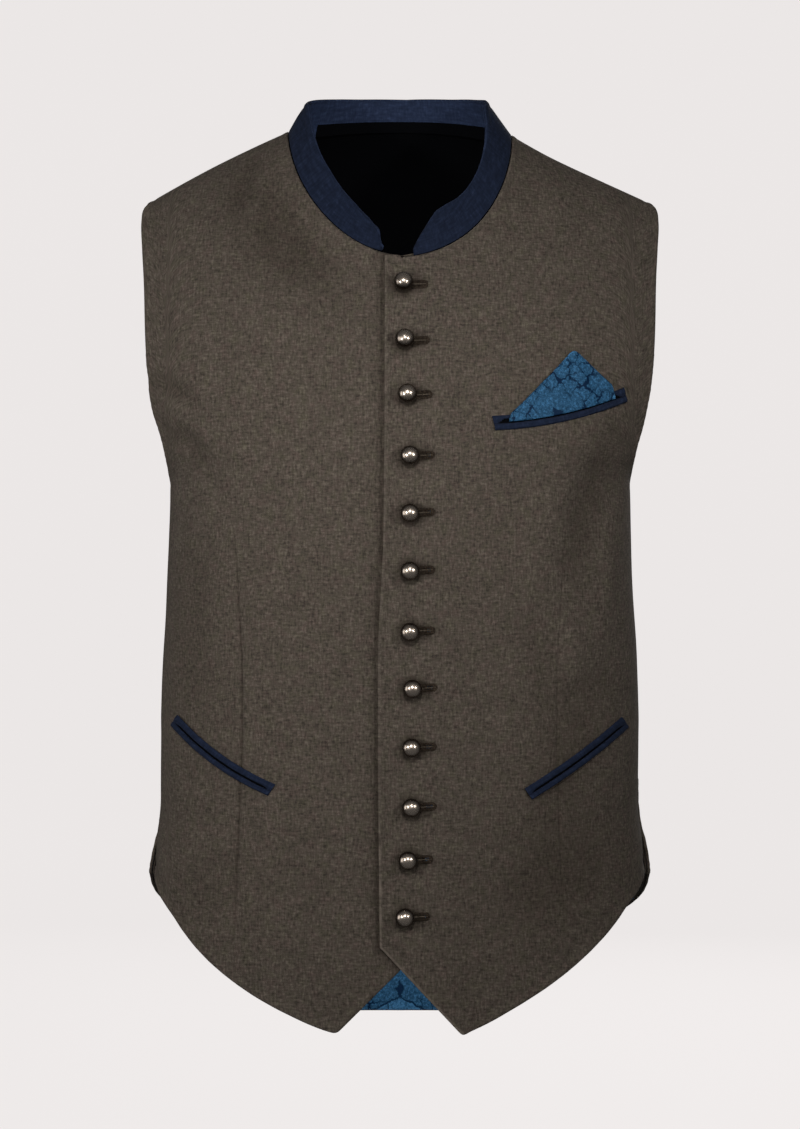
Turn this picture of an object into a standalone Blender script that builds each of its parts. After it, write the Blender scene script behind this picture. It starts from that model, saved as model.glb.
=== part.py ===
"""Man's waistcoat with a stand collar, filled out as it is worn, with nothing inside it.

x runs to the wearer's left, y to the back and z up. The origin is midway between the
two points where the shoulder seams meet the neck seam. Sizes are in millimetres.
"""

import bisect
import math

import bmesh
import bpy
from mathutils import Vector

MM = 0.001
QUARTER = math.pi / 2
SETTLING_STEPS = 14
NORMAL_STEP = 0.001

# Cloth, as it lies from outside to inside
WOOL = 2.2
LINING = 1.0
COLLAR_CLOTH = 1.5
FACING = 1.0
SEAM_GAP = 0.3
LINING_GAP = 0.6

# Body of the garment
ARMPIT = -265.0
SECTION_ROUNDNESS = 2.4
FRONT_YOKE_ROUNDNESS = 1.7
BACK_YOKE_ROUNDNESS = 2.0
CENTRE_RISE = 25.0
NECK_POINT = 80.0
SHOULDER_SLOPE = 1.364
SHOULDER_TIP = 194.0
LEFT_SHOULDER_SAG = 6.0
SAG_START = 75.0
SAG_LEAN = 0.75

# Horizontal sections: height, half width, depth of the front, depth of the back
SECTIONS = (
    (-700.0, 191.0, 122.0, 114.0),
    (-600.0, 190.5, 122.0, 113.0),
    (-556.0, 187.8, 121.0, 112.0),
    (-536.0, 184.5, 121.0, 111.0),
    (-519.0, 180.2, 121.0, 110.0),
    (-500.0, 178.6, 121.0, 109.0),
    (-444.0, 178.5, 121.0, 107.0),
    (-399.0, 177.4, 122.0, 107.0),
    (-354.0, 175.0, 124.0, 109.0),
    (-309.0, 173.0, 126.0, 111.0),
    (-265.0, 171.5, 127.0, 113.0),
    (-256.0, 174.0, 127.0, 113.0),
    (-246.0, 180.0, 127.0, 113.0),
    (-232.0, 187.0, 127.0, 113.0),
    (-204.0, 198.5, 126.0, 113.0),
    (-174.0, 206.5, 125.0, 112.0),
    (-145.0, 209.5, 124.0, 111.0),
    (-100.0, 210.0, 122.0, 109.0),
    (30.0, 210.0, 122.0, 106.0),
)

# Armhole edge: height, distance from the centre
ARMHOLE = (
    (-265.0, 171.5),
    (-256.0, 172.6),
    (-241.0, 175.0),
    (-226.0, 179.3),
    (-211.0, 182.8),
    (-196.0, 185.6),
    (-175.0, 187.4),
    (-136.0, 189.0),
    (-91.0, 191.8),
    (-58.6, 194.0),
)
BACK_ARMHOLE_INSET = 4.0
ARMHOLE_SPACING = 1.25

# Neck seam
NECK_HALF = 84.0
NECK_FRONT_DROP = 99.5
NECK_BACK_RISE = 5.0

# Front edge of each front: height, distance past the centre line
OVER_EDGE = (
    (-101.0, 11.0),
    (-207.0, 11.2),
    (-303.0, 12.0),
    (-397.0, 15.9),
    (-500.0, 15.6),
    (-602.0, 14.6),
)
UNDER_EDGE = (
    (-101.0, 20.0),
    (-300.0, 20.0),
    (-601.0, 18.0),
)

# Hem from the point of a front to its side: distance from the centre, height
FRONT_HEM = (
    (46.0, -665.0),
    (60.0, -660.0),
    (83.0, -649.0),
    (108.0, -635.0),
    (127.0, -622.0),
    (144.0, -608.0),
    (157.0, -595.0),
    (168.0, -581.0),
    (179.0, -568.0),
    (187.6, -554.0),
)
# Hem of the back: distance from the centre, height
BACK_HEM = (
    (0.0, -672.0),
    (70.0, -672.0),
    (90.0, -666.0),
    (115.0, -650.0),
    (134.0, -633.0),
    (151.0, -614.0),
    (163.0, -598.0),
    (172.0, -582.0),
    (181.0, -566.0),
    (187.0, -550.0),
)
VENT_TOP = -520.0
VENT_OPEN = 3.0

# The over-front is raised over the under-front, and comes down again past its edge
LAP_LIFT = WOOL + 0.7
LAP_FULL = 24.0
LAP_END = 62.0

# Grid of the panels, in faces
SIDE_ROWS = 12
ARMHOLE_ROWS = 14
NECK_ROWS = 9
DIAGONAL_COLUMNS = 5
HEM_COLUMNS = 12
BACK_NECK_COLUMNS = 12
BACK_SHOULDER_COLUMNS = 6
LINING_STRIDE = 2

# Collar band: share of the way from the front end to the centre back, rise and inward lean
COLLAR_BAND_RIGHT = (
    (0.000, 11.8, -2.0),
    (0.018, 14.8, 3.4),
    (0.045, 17.6, 9.8),
    (0.080, 19.3, 13.2),
    (0.142, 19.0, 16.0),
    (0.214, 16.8, 17.6),
    (0.288, 15.5, 18.0),
    (0.364, 14.6, 17.2),
    (0.442, 14.3, 16.6),
    (0.522, 16.4, 16.4),
    (0.605, 20.4, 15.6),
    (0.691, 22.4, 12.4),
    (0.778, 21.4, 9.2),
    (0.866, 20.4, 7.0),
    (1.000, 20.0, 5.4),
)
COLLAR_BAND_LEFT = (
    (0.000, 5.0, 3.0),
    (0.020, 12.5, 6.0),
    (0.045, 19.0, 7.9),
    (0.071, 24.0, 9.8),
    (0.100, 26.4, 12.6),
    (0.142, 25.4, 14.2),
    (0.214, 20.8, 15.4),
    (0.288, 17.7, 16.0),
    (0.364, 16.4, 16.4),
    (0.442, 15.6, 17.2),
    (0.522, 16.8, 18.6),
    (0.605, 20.6, 19.2),
    (0.691, 23.8, 17.2),
    (0.778, 23.0, 11.6),
    (0.866, 21.4, 7.2),
    (1.000, 20.0, 5.4),
)
COLLAR_AXIS_Y = -42.0
COLLAR_ROWS = 3
COLLAR_BELLY = 1.2
COLLAR_GAP = 0.55
COLLAR_ROUND = 7.0
LAP_TUCK_AT = 8.0

# Buttons: distance from the centre line, height
BUTTONS = (
    (2.4, -125.2),
    (3.5, -166.2),
    (5.3, -205.5),
    (7.1, -248.8),
    (7.1, -289.4),
    (7.1, -330.8),
    (7.1, -374.5),
    (8.9, -415.6),
    (8.2, -458.2),
    (8.2, -501.2),
    (5.7, -539.2),
    (3.5, -580.4),
)
BALL_RADIUS = 6.9
BALL_DEPTH = 6.2
SHANK_RADIUS = 1.4
BUTTON_SIDES = 12
BALL_RINGS = 7

# Worked buttonholes, measured from the button to the wearer's left
HOLE_START = -2.4
HOLE_END = 15.0
HOLE_SLOT = 3.8
HOLE_RIM = 1.9
HOLE_THREAD = 0.8
HOLE_BEAD_OUTER = 0.7
HOLE_BEAD_INNER = 0.25
HOLE_CUT_MARGIN = 0.4
HOLE_CUT_OUT = 4.0
HOLE_CUT_IN = WOOL + 1.6
HOLE_TILT = math.radians(2.5)
HOLE_ARC = 4

# Pockets: ends of the opening as distance from the centre and height, and its sag
LOWER_POCKETS = {
    "under": ((165.5, -441.0), (92.5, -489.5), 4.5),
    "over": ((165.0, -442.5), (92.5, -492.5), 1.5),
}
JET_WIDTH = 4.6
JET_THICKNESS = 0.9
JET_SLIT = 0.7
BREAST_POCKET = ((67.2, -224.7), (164.2, -202.4), 4.6)
WELT_WIDTH = 4.8
BREAST_JET_WIDTH = 5.2
WELT_THICKNESS = 1.3
POCKET_STATIONS = 12
# Pocket square above the slit: share of the slit's length, height of its folded edge
SQUARE_EDGE = (
    (0.115, 2.0),
    (0.130, 6.5),
    (0.190, 11.0),
    (0.350, 24.7),
    (0.503, 37.0),
    (0.571, 43.0),
    (0.600, 43.8),
    (0.627, 42.4),
    (0.710, 32.5),
    (0.790, 22.5),
    (0.883, 11.6),
    (0.902, 5.0),
    (0.912, 2.0),
)
SQUARE_CLOTH = 1.3
SQUARE_ROWS = 3


def read_table(table, key, column=1):
    """The column's value at this key, smoothly between the table's rows."""
    rows = table if table[0][0] < table[-1][0] else table[::-1]
    keys = [row[0] for row in rows]
    key = min(max(key, keys[0]), keys[-1])
    i = min(max(bisect.bisect_right(keys, key) - 1, 0), len(rows) - 2)

    def slope(k):
        if k <= 0 or k >= len(rows) - 1:
            j = max(0, min(k, len(rows) - 2))
            return (rows[j + 1][column] - rows[j][column]) / (keys[j + 1] - keys[j])
        before = (rows[k][column] - rows[k - 1][column]) / (keys[k] - keys[k - 1])
        after = (rows[k + 1][column] - rows[k][column]) / (keys[k + 1] - keys[k])
        return 0.0 if before * after <= 0 else 2 * before * after / (before + after)

    width = keys[i + 1] - keys[i]
    t = (key - keys[i]) / width
    blend = t * t * (3 - 2 * t)
    ends = rows[i][column] * (1 - blend) + rows[i + 1][column] * blend
    return ends + width * (t * (1 - t) ** 2 * slope(i) - t * t * (1 - t) * slope(i + 1))


def half_width(z):
    return read_table(SECTIONS, z, 1)


def shoulder(x):
    """Height of the shoulder line at this x. The wearer's left shoulder is a little hollower."""
    height = CENTRE_RISE * (1 - (abs(x) / NECK_POINT) ** SHOULDER_SLOPE)
    if SAG_START < x < SHOULDER_TIP:
        share = ((x - SAG_START) / (SHOULDER_TIP - SAG_START)) ** SAG_LEAN
        height -= LEFT_SHOULDER_SAG * math.sin(math.pi * share)
    return height


class Shell:
    """The outer surface of the front or of the back, from a turn round the body and a climb."""

    def __init__(self, facing, depth_column, yoke_roundness):
        self.facing = facing
        self.depth_column = depth_column
        self.yoke = yoke_roundness

    def turn_and_climb(self, x, z):
        share = min(abs(x) / half_width(z), 1.0)
        turn = math.copysign(math.asin(share ** (SECTION_ROUNDNESS / 2)), x)
        climb = (z - ARMPIT) / (shoulder(x) - ARMPIT)
        if climb > 0:
            climb = math.asin(min(climb, 1.0) ** (self.yoke / 2))
        return Vector((turn, climb))

    def point(self, turn, climb):
        x, z = 0.0, ARMPIT
        for _ in range(SETTLING_STEPS):
            reach = shoulder(x) - ARMPIT
            share = climb if climb < 0 else math.sin(min(climb, QUARTER)) ** (2 / self.yoke)
            z = ARMPIT + reach * share
            x = half_width(z) * math.copysign(abs(math.sin(turn)) ** (2 / SECTION_ROUNDNESS), turn)
        depth = read_table(SECTIONS, z, self.depth_column)
        depth *= max(math.cos(turn), 0.0) ** (2 / SECTION_ROUNDNESS)
        if climb > 0:
            depth *= max(math.cos(climb), 0.0) ** (2 / self.yoke)
        return Vector((x, self.facing * (depth + SEAM_GAP / 2), z))

    def normal(self, turn, climb):
        ahead = self.point(min(turn + NORMAL_STEP, QUARTER), climb)
        behind = self.point(max(turn - NORMAL_STEP, -QUARTER), climb)
        above = self.point(turn, min(climb + NORMAL_STEP, QUARTER))
        below = self.point(turn, climb - NORMAL_STEP)
        return ((ahead - behind).cross(above - below) * -self.facing).normalized()


class Front:
    """What sets one front apart: its side, its edge, its neck seam and its collar end."""

    def __init__(self, sign, edge, hem_fall, neck_roundness, tuck, collar_end, lifted):
        self.sign = sign
        self.edge = edge
        self.hem_fall = hem_fall
        self.neck_roundness = neck_roundness
        self.tuck = tuck
        self.collar_end = collar_end
        self.lifted = lifted


FRONT = Shell(-1, 2, FRONT_YOKE_ROUNDNESS)
BACK = Shell(1, 3, BACK_YOKE_ROUNDNESS)
UNDER = Front(-1, UNDER_EDGE, 3.0, 1.78, 2.5, 13.5, False)
OVER = Front(1, OVER_EDGE, -4.5, 2.0, 0.0, 10.0, True)


def lap_lift(x):
    """How far the over-front stands out at this distance to the wearer's left."""
    share = min(max((LAP_END - x) / (LAP_END - LAP_FULL), 0.0), 1.0)
    return LAP_LIFT * share * share * (3 - 2 * share)


def surface(shell, place, lifted):
    """Point and normal of the cloth's outer face at a turn and a climb."""
    normal = shell.normal(*place)
    point = shell.point(*place)
    if lifted:
        point = point + normal * lap_lift(point.x)
    return point, normal


def on_front(x, z, lifted, out=0.0):
    """A point this far out from the front, given as it is seen from ahead."""
    point, normal = surface(FRONT, FRONT.turn_and_climb(x, z), lifted)
    return point + normal * out


def patch(bottom, top, left, right):
    """Rows of turn and climb that fill the space between four sides."""
    rows = []
    for j, (first, last) in enumerate(zip(left, right)):
        v = j / (len(left) - 1)
        row = []
        for i, (low, high) in enumerate(zip(bottom, top)):
            u = i / (len(bottom) - 1)
            across = first * (1 - u) + last * u
            along = low * (1 - v) + high * v
            corners = (bottom[0] * (1 - u) + bottom[-1] * u) * (1 - v) + (top[0] * (1 - u) + top[-1] * u) * v
            row.append(across + along - corners)
        rows.append(row)
    return rows


def spread(start, end, count):
    """Evenly spaced values from start to end."""
    return [start + (end - start) * i / count for i in range(count + 1)]


def neck_height(x, sign, roundness):
    """Height of a front's neck seam at this distance from the centre."""
    share = 1 - (min(abs(x) / NECK_HALF, 1.0)) ** roundness
    return shoulder(sign * NECK_HALF) - NECK_FRONT_DROP * share ** (1 / roundness)


def front_neck(front):
    """Points of a front's neck seam as seen from ahead, from its centre end to the shoulder."""
    lap = front.edge[0][1]
    first = math.asin((lap / NECK_HALF) ** (front.neck_roundness / 2))
    points = []
    for angle in spread(-first, QUARTER, NECK_ROWS):
        x = NECK_HALF * math.copysign(abs(math.sin(angle)) ** (2 / front.neck_roundness), angle)
        tucked = front.tuck * min(max(-x / LAP_TUCK_AT, 0.0), 1.0)
        points.append((x * front.sign, neck_height(x, front.sign, front.neck_roundness) - tucked))
    return points


def back_neck():
    """Points of the back's neck seam, from the wearer's right to the left."""
    points = []
    for share in spread(-1.0, 1.0, BACK_NECK_COLUMNS):
        x = NECK_HALF * math.sin(share * QUARTER)
        drop = NECK_BACK_RISE - shoulder(math.copysign(NECK_HALF, x))
        z = NECK_BACK_RISE - drop * (x / NECK_HALF) ** 2
        points.append((x, z))
    return points


def side_edge(shell, sign, hem_height, inset):
    """Side seam, with its vent, and armhole edge, from the hem to the shoulder tip."""
    side = []
    for z in spread(hem_height, ARMPIT, SIDE_ROWS):
        place = shell.turn_and_climb(sign * half_width(z), z)
        open_share = min(max((VENT_TOP - z) / (VENT_TOP - hem_height), 0.0), 1.0)
        depth = read_table(SECTIONS, z, shell.depth_column)
        away = (VENT_OPEN * open_share / depth) ** (SECTION_ROUNDNESS / 2)
        place.x -= sign * away
        side.append(place)
    for share in spread(0.0, 1.0, ARMHOLE_ROWS)[1:]:
        z = ARMPIT + (shoulder(SHOULDER_TIP) - ARMPIT) * math.sin(share * QUARTER) ** ARMHOLE_SPACING
        x = read_table(ARMHOLE, z) - inset * math.sin(share * math.pi)
        place = shell.turn_and_climb(sign * x, z)
        if share == 1.0:
            place.y = QUARTER
        side.append(place)
    return side


def front_places(front):
    """The grid of one front. Its first column is its front edge and neck seam."""
    sign, edge, hem = front.sign, front.edge, FRONT_HEM
    tip = Vector(hem[0])
    corner = Vector((-edge[-1][1], edge[-1][0]))
    side = side_edge(FRONT, sign, hem[-1][1], 0.0)
    neck = front_neck(front)
    rows_below = len(side) - 1 - NECK_ROWS
    centre = []
    for z in spread(corner.y, neck[0][1], rows_below)[:-1]:
        centre.append(FRONT.turn_and_climb(-sign * read_table(edge, z), z))
    centre += [FRONT.turn_and_climb(*point) for point in neck]
    centre[-1].y = QUARTER
    bottom = []
    for share in spread(0.0, 1.0, DIAGONAL_COLUMNS):
        point = corner.lerp(tip, share)
        bottom.append(FRONT.turn_and_climb(sign * point.x, point.y))
    for share in spread(0.0, 1.0, HEM_COLUMNS)[1:]:
        x = tip.x + (hem[-1][0] - tip.x) * math.sin(share * QUARTER)
        z = read_table(hem, x) - front.hem_fall * math.sin(share * math.pi)
        bottom.append(FRONT.turn_and_climb(sign * x, z))
    bottom[0], bottom[-1] = centre[0], side[0]
    top = []
    for x in spread(NECK_HALF, SHOULDER_TIP, len(bottom) - 1):
        place = FRONT.turn_and_climb(sign * x, shoulder(x))
        place.y = QUARTER
        top.append(place)
    top[0], top[-1] = centre[-1], side[-1]
    return patch(bottom, top, centre, side)


def back_places():
    """The grid of the back, from the wearer's right side seam to the left."""
    right = side_edge(BACK, -1, BACK_HEM[-1][1], BACK_ARMHOLE_INSET)
    left = side_edge(BACK, 1, BACK_HEM[-1][1], BACK_ARMHOLE_INSET)
    shoulder_places = []
    for x in spread(SHOULDER_TIP, NECK_HALF, BACK_SHOULDER_COLUMNS):
        place = BACK.turn_and_climb(x, shoulder(x))
        shoulder_places.append(Vector((place.x, QUARTER)))
    neck = [BACK.turn_and_climb(*point) for point in back_neck()]
    top = [Vector((-place.x, place.y)) for place in shoulder_places[:-1]]
    top += [Vector((-shoulder_places[-1].x, QUARTER))] + neck[1:-1] + shoulder_places[::-1]
    top[0], top[-1] = right[-1], left[-1]
    bottom = []
    for share in spread(-1.0, 1.0, len(top) - 1):
        x = BACK_HEM[-1][0] * math.sin(share * QUARTER)
        bottom.append(BACK.turn_and_climb(x, read_table(BACK_HEM, abs(x))))
    bottom[0], bottom[-1] = right[0], left[0]
    return patch(bottom, top, right, left)


def mesh_object(name, points, faces, material):
    """An object from points in millimetres, with its faces pointing out."""
    mesh = bpy.data.meshes.new(name)
    mesh.from_pydata([tuple(point * MM) for point in points], [], faces)
    build = bmesh.new()
    build.from_mesh(mesh)
    bmesh.ops.recalc_face_normals(build, faces=build.faces)
    build.to_mesh(mesh)
    build.free()
    mesh.materials.append(material)
    made = bpy.data.objects.new(name, mesh)
    bpy.context.scene.collection.objects.link(made)
    return made


def wall(name, outer, inner, material):
    """A closed wall between two grids of points."""
    rows, columns = len(outer), len(outer[0])
    points = [point for row in outer for point in row] + [point for row in inner for point in row]
    back = rows * columns
    faces = []
    for j in range(rows - 1):
        for i in range(columns - 1):
            a = j * columns + i
            b, c, d = a + 1, a + columns + 1, a + columns
            rising = i * 2 < columns - 1
            for corners in ((a, b, c), (a, c, d)) if rising else ((a, b, d), (b, c, d)):
                faces.append(corners)
                faces.append(tuple(back + k for k in reversed(corners)))
    around = [i for i in range(columns)]
    around += [j * columns + columns - 1 for j in range(1, rows)]
    around += [(rows - 1) * columns + i for i in range(columns - 2, -1, -1)]
    around += [j * columns for j in range(rows - 2, 0, -1)]
    for first, second in zip(around, around[1:] + around[:1]):
        faces.append((first, back + first, back + second, second))
    return mesh_object(name, points, faces, material)


def panel(name, shell, places, lifted, outside, thickness, material):
    """Cloth of this thickness whose outer face lies this far inside the garment's surface."""
    outer, inner = [], []
    for row in places:
        found = [surface(shell, place, lifted) for place in row]
        outer.append([point - normal * outside for point, normal in found])
        inner.append([point - normal * (outside + thickness) for point, normal in found])
    return wall(name, outer, inner, material)


def every(items, stride):
    """Each stride-th item, and the last."""
    kept = list(items[::stride])
    if (len(items) - 1) % stride:
        kept.append(items[-1])
    return kept


def between(seam, x):
    """The point and normal at this x on the straight pieces of a seam."""
    for (first, normal), (second, next_normal) in zip(seam, seam[1:]):
        share = (x - first.x) / (second.x - first.x)
        if 0.0 <= share <= 1.0:
            return first.lerp(second, share), normal.lerp(next_normal, share).normalized()
    raise ValueError("the seam doesn't reach this x")


def collar_seam():
    """Points and normals of the neck seam, from the under-front's end to the over-front's."""
    half = []
    for front in (UNDER, OVER):
        neck = [surface(FRONT, FRONT.turn_and_climb(x, z), front.lifted) for x, z in front_neck(front)]
        seam = [pair for pair in neck[:-1] if pair[0].x * front.sign > front.collar_end + COLLAR_ROUND]
        for beyond in (COLLAR_ROUND / 2, 0.0):
            seam.insert(0, between(neck, (front.collar_end + beyond) * front.sign))
        half.append(seam)
    back = [surface(BACK, BACK.turn_and_climb(*point), False) for point in back_neck()]
    return half[0] + back + half[1][::-1]


def collar_grid():
    """Grid of the collar's outer face, from its seam to its top edge."""
    seam = collar_seam()
    base = []
    for k, (point, normal) in enumerate(seam):
        along = seam[min(k + 1, len(seam) - 1)][0] - seam[max(k - 1, 0)][0]
        base.append(point + along.cross(normal).normalized() * COLLAR_GAP)
    lengths = [0.0]
    for first, second in zip(base, base[1:]):
        lengths.append(lengths[-1] + (second - first).length)
    half = lengths[-1] / 2
    grid = [[] for _ in range(COLLAR_ROWS + 1)]
    for k, point in enumerate(base):
        share = 1 - abs(lengths[k] - half) / half
        table = COLLAR_BAND_RIGHT if lengths[k] < half else COLLAR_BAND_LEFT
        rise = read_table(table, share, 1)
        lean = read_table(table, share, 2)
        inward = Vector((-point.x, COLLAR_AXIS_Y - point.y, 0.0)).normalized()
        top = point + inward * lean + Vector((0.0, 0.0, rise))
        bulge = Vector((0.0, 0.0, 1.0)) - inward
        for j, row in enumerate(grid):
            t = j / COLLAR_ROWS
            row.append(point.lerp(top, t) + bulge * COLLAR_BELLY * t * (1 - t))
    return grid


def grid_normals(grid):
    """Unit normals of a grid of points, from its neighbours."""
    normals = []
    for j, row in enumerate(grid):
        line = []
        for i in range(len(row)):
            across = row[min(i + 1, len(row) - 1)] - row[max(i - 1, 0)]
            up = grid[min(j + 1, len(grid) - 1)][i] - grid[max(j - 1, 0)][i]
            line.append(across.cross(up).normalized())
        normals.append(line)
    return normals


def offset_grid(grid, normals, distance):
    return [[p + n * distance for p, n in zip(row, line)] for row, line in zip(grid, normals)]


def strip(name, pocket, edges, sign, lifted, thickness, material):
    """A flat band on a front along a pocket's opening, between two distances below it."""
    outer, inner = [], []
    for below in edges:
        line = pocket_line(pocket, below)
        outer.append([on_front(sign * x, z, lifted, SEAM_GAP + thickness) for x, z in line])
        inner.append([on_front(sign * x, z, lifted, SEAM_GAP) for x, z in line])
    wall(name, outer, inner, material)


def pocket_line(pocket, below):
    """Points along a pocket's opening, moved this far below it and square to it."""
    start, end, sag = Vector(pocket[0]), Vector(pocket[1]), pocket[2]
    along = (end - start).normalized()
    down = Vector((along.y, -along.x))
    if down.y > 0:
        down.negate()
    points = []
    for share in spread(0.0, 1.0, POCKET_STATIONS):
        middle = start.lerp(end, share) + down * (sag * 4 * share * (1 - share) + below)
        points.append((middle.x, middle.y))
    return points


def lower_pocket(side, sign, lifted, material):
    pocket = LOWER_POCKETS[side]
    half_slit = JET_SLIT / 2
    for name, first, second in (
        ("upper", -half_slit - JET_WIDTH, -half_slit),
        ("lower", half_slit, half_slit + JET_WIDTH),
    ):
        node = f"pocket_{side}_jet_{name}"
        strip(node, pocket, (first, second), sign, lifted, JET_THICKNESS, material)


def breast_pocket(linen, satin):
    welt = (JET_SLIT, JET_SLIT + WELT_WIDTH)
    strip("breast_welt", BREAST_POCKET, welt, 1, True, WELT_THICKNESS, linen)
    strip("breast_jet", BREAST_POCKET, (-BREAST_JET_WIDTH, 0.0), 1, True, JET_THICKNESS, linen)
    start, end = Vector(BREAST_POCKET[0]), Vector(BREAST_POCKET[1])
    lie = 2 * SEAM_GAP + JET_THICKNESS
    outer = [[] for _ in range(SQUARE_ROWS + 1)]
    inner = [[] for _ in range(SQUARE_ROWS + 1)]
    for share, height in SQUARE_EDGE:
        foot = start.lerp(end, share)
        foot.y -= BREAST_POCKET[2] * 4 * share * (1 - share)
        for j in range(SQUARE_ROWS + 1):
            z = foot.y + height * j / SQUARE_ROWS
            outer[j].append(on_front(foot.x, z, True, lie + SQUARE_CLOTH))
            inner[j].append(on_front(foot.x, z, True, lie))
    wall("pocket_square", outer, inner, satin)


def stadium(length, width):
    """Outline of a slot from its first end's centre, as distance along and across."""
    radius = width / 2
    points = []
    for centre, start in ((length, -90.0), (0.0, 90.0)):
        for i in range(HOLE_ARC + 1):
            angle = math.radians(start + 180.0 * i / HOLE_ARC)
            points.append((centre + radius * math.cos(angle), radius * math.sin(angle)))
    return points


def hole_place(x, z, along, across):
    """Place on the over-front as seen from ahead, in a buttonhole's own directions."""
    cos, sin = math.cos(HOLE_TILT), math.sin(HOLE_TILT)
    return x + along * cos - across * sin, z + along * sin + across * cos


def buttonhole(name, x, z, material):
    """The worked rim of thread round a slot."""
    length = HOLE_END - HOLE_START
    rings = []
    for width, out in (
        (HOLE_SLOT, SEAM_GAP),
        (HOLE_SLOT + 2 * HOLE_RIM, SEAM_GAP),
        (HOLE_SLOT + 2 * HOLE_RIM * HOLE_BEAD_OUTER, SEAM_GAP + HOLE_THREAD),
        (HOLE_SLOT + 2 * HOLE_RIM * HOLE_BEAD_INNER, SEAM_GAP + HOLE_THREAD),
    ):
        ring = []
        for along, across in stadium(length, width):
            ring.append(on_front(*hole_place(x, z, HOLE_START + along, across), True, out))
        rings.append(ring)
    count = len(rings[0])
    points = [point for ring in rings for point in ring]
    faces = []
    for k in range(len(rings)):
        for i in range(count):
            a, b = k * count + i, k * count + (i + 1) % count
            c, d = (k + 1) % len(rings) * count + (i + 1) % count, (k + 1) % len(rings) * count + i
            faces.append((a, b, c, d))
    return mesh_object(name, points, faces, material)


def cut_slots(panel_object, material):
    """Cuts the twelve slots through the over-front."""
    points, faces = [], []
    for x, z in BUTTONS:
        outline = stadium(HOLE_END - HOLE_START, HOLE_SLOT - 2 * HOLE_CUT_MARGIN)
        first = len(points)
        for out in (HOLE_CUT_OUT, -HOLE_CUT_IN):
            for along, across in outline:
                points.append(on_front(*hole_place(x, z, HOLE_START + along, across), True, out))
        count = len(outline)
        faces.append(tuple(first + i for i in range(count)))
        faces.append(tuple(first + count + i for i in reversed(range(count))))
        for i in range(count):
            j = (i + 1) % count
            faces.append((first + i, first + count + i, first + count + j, first + j))
    cutter = mesh_object("buttonhole_slots", points, faces, material)
    cutter.hide_render = True
    cutter.display_type = "WIRE"
    cut = panel_object.modifiers.new("slots", "BOOLEAN")
    cut.operation = "DIFFERENCE"
    cut.solver = "EXACT"
    cut.object = cutter


def button(name, x, z, material):
    """A ball with a shank that reaches through the slot to the under-front."""
    place = FRONT.turn_and_climb(x, z)
    outside, normal = surface(FRONT, place, True)
    foot = FRONT.point(*place) + normal * SEAM_GAP
    centre = outside + normal * (2 * SEAM_GAP + HOLE_THREAD + BALL_DEPTH)
    shank = (centre - foot).length
    neck = math.asin(SHANK_RADIUS / BALL_RADIUS)
    profile = [(0.0, -shank), (SHANK_RADIUS, -shank)]
    for angle in spread(neck, math.pi, BALL_RINGS):
        profile.append((BALL_RADIUS * math.sin(angle), -BALL_DEPTH * math.cos(angle)))
    profile[-1] = (0.0, BALL_DEPTH)
    build = bmesh.new()
    line = [build.verts.new((r, 0.0, h)) for r, h in profile]
    edges = [build.edges.new(pair) for pair in zip(line, line[1:])]
    turned = {"cent": (0, 0, 0), "axis": (0, 0, 1), "angle": math.tau}
    bmesh.ops.spin(build, geom=line + edges, steps=BUTTON_SIDES, use_merge=True, **turned)
    bmesh.ops.remove_doubles(build, verts=build.verts, dist=1e-4)
    bmesh.ops.recalc_face_normals(build, faces=build.faces)
    bmesh.ops.scale(build, vec=(MM, MM, MM), verts=build.verts)
    mesh = bpy.data.meshes.new(name)
    build.to_mesh(mesh)
    build.free()
    mesh.shade_smooth()
    mesh.materials.append(material)
    made = bpy.data.objects.new(name, mesh)
    made.location = centre * MM
    made.rotation_mode = "QUATERNION"
    made.rotation_quaternion = normal.to_track_quat("Z", "Y")
    bpy.context.scene.collection.objects.link(made)


def finish(name, colour, roughness, metallic=0.0):
    material = bpy.data.materials.new(name)
    material.use_nodes = True
    shader = material.node_tree.nodes["Principled BSDF"]
    shader.inputs["Base Color"].default_value = (*colour, 1.0)
    shader.inputs["Roughness"].default_value = roughness
    shader.inputs["Metallic"].default_value = metallic
    return material


def main():
    for old in list(bpy.data.objects):
        bpy.data.objects.remove(old)
    wool = finish("brown_wool", (0.075, 0.062, 0.048), 0.95)
    linen = finish("navy_linen", (0.014, 0.020, 0.036), 0.85)
    satin = finish("teal_satin", (0.020, 0.060, 0.110), 0.45)
    thread = finish("brown_thread", (0.016, 0.010, 0.007), 0.8)
    metal = finish("aged_metal", (0.45, 0.42, 0.38), 0.35, 1.0)

    panel("front_under", FRONT, front_places(UNDER), False, 0.0, WOOL, wool)
    over = panel("front_over", FRONT, front_places(OVER), True, 0.0, WOOL, wool)
    cut_slots(over, thread)
    back = back_places()
    panel("back", BACK, back, False, 0.0, WOOL, wool)
    lining = [every(row, LINING_STRIDE) for row in back]
    panel("back_lining", BACK, lining, False, WOOL + LINING_GAP, LINING, satin)

    band = collar_grid()
    normals = grid_normals(band)
    inside = offset_grid(band, normals, COLLAR_CLOTH)
    wall("collar_outer", band, inside, linen)
    facing_out = offset_grid(band, normals, COLLAR_CLOTH + SEAM_GAP)
    wall("collar_facing", facing_out, offset_grid(facing_out, normals, FACING), linen)

    lower_pocket("under", -1, False, linen)
    lower_pocket("over", 1, True, linen)
    breast_pocket(linen, satin)
    for number, (x, z) in enumerate(BUTTONS, 1):
        buttonhole(f"buttonhole_{number:02d}", x, z, thread)
        button(f"button_{number:02d}", x, z, metal)


main()
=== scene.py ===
"""Man's waistcoat with a stand collar, filled out as it is worn, with nothing inside it.

x runs to the wearer's left, y to the back and z up. The sizes are in millimetres, and
become metres as a mesh is made.
"""

import math
from types import SimpleNamespace

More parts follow.
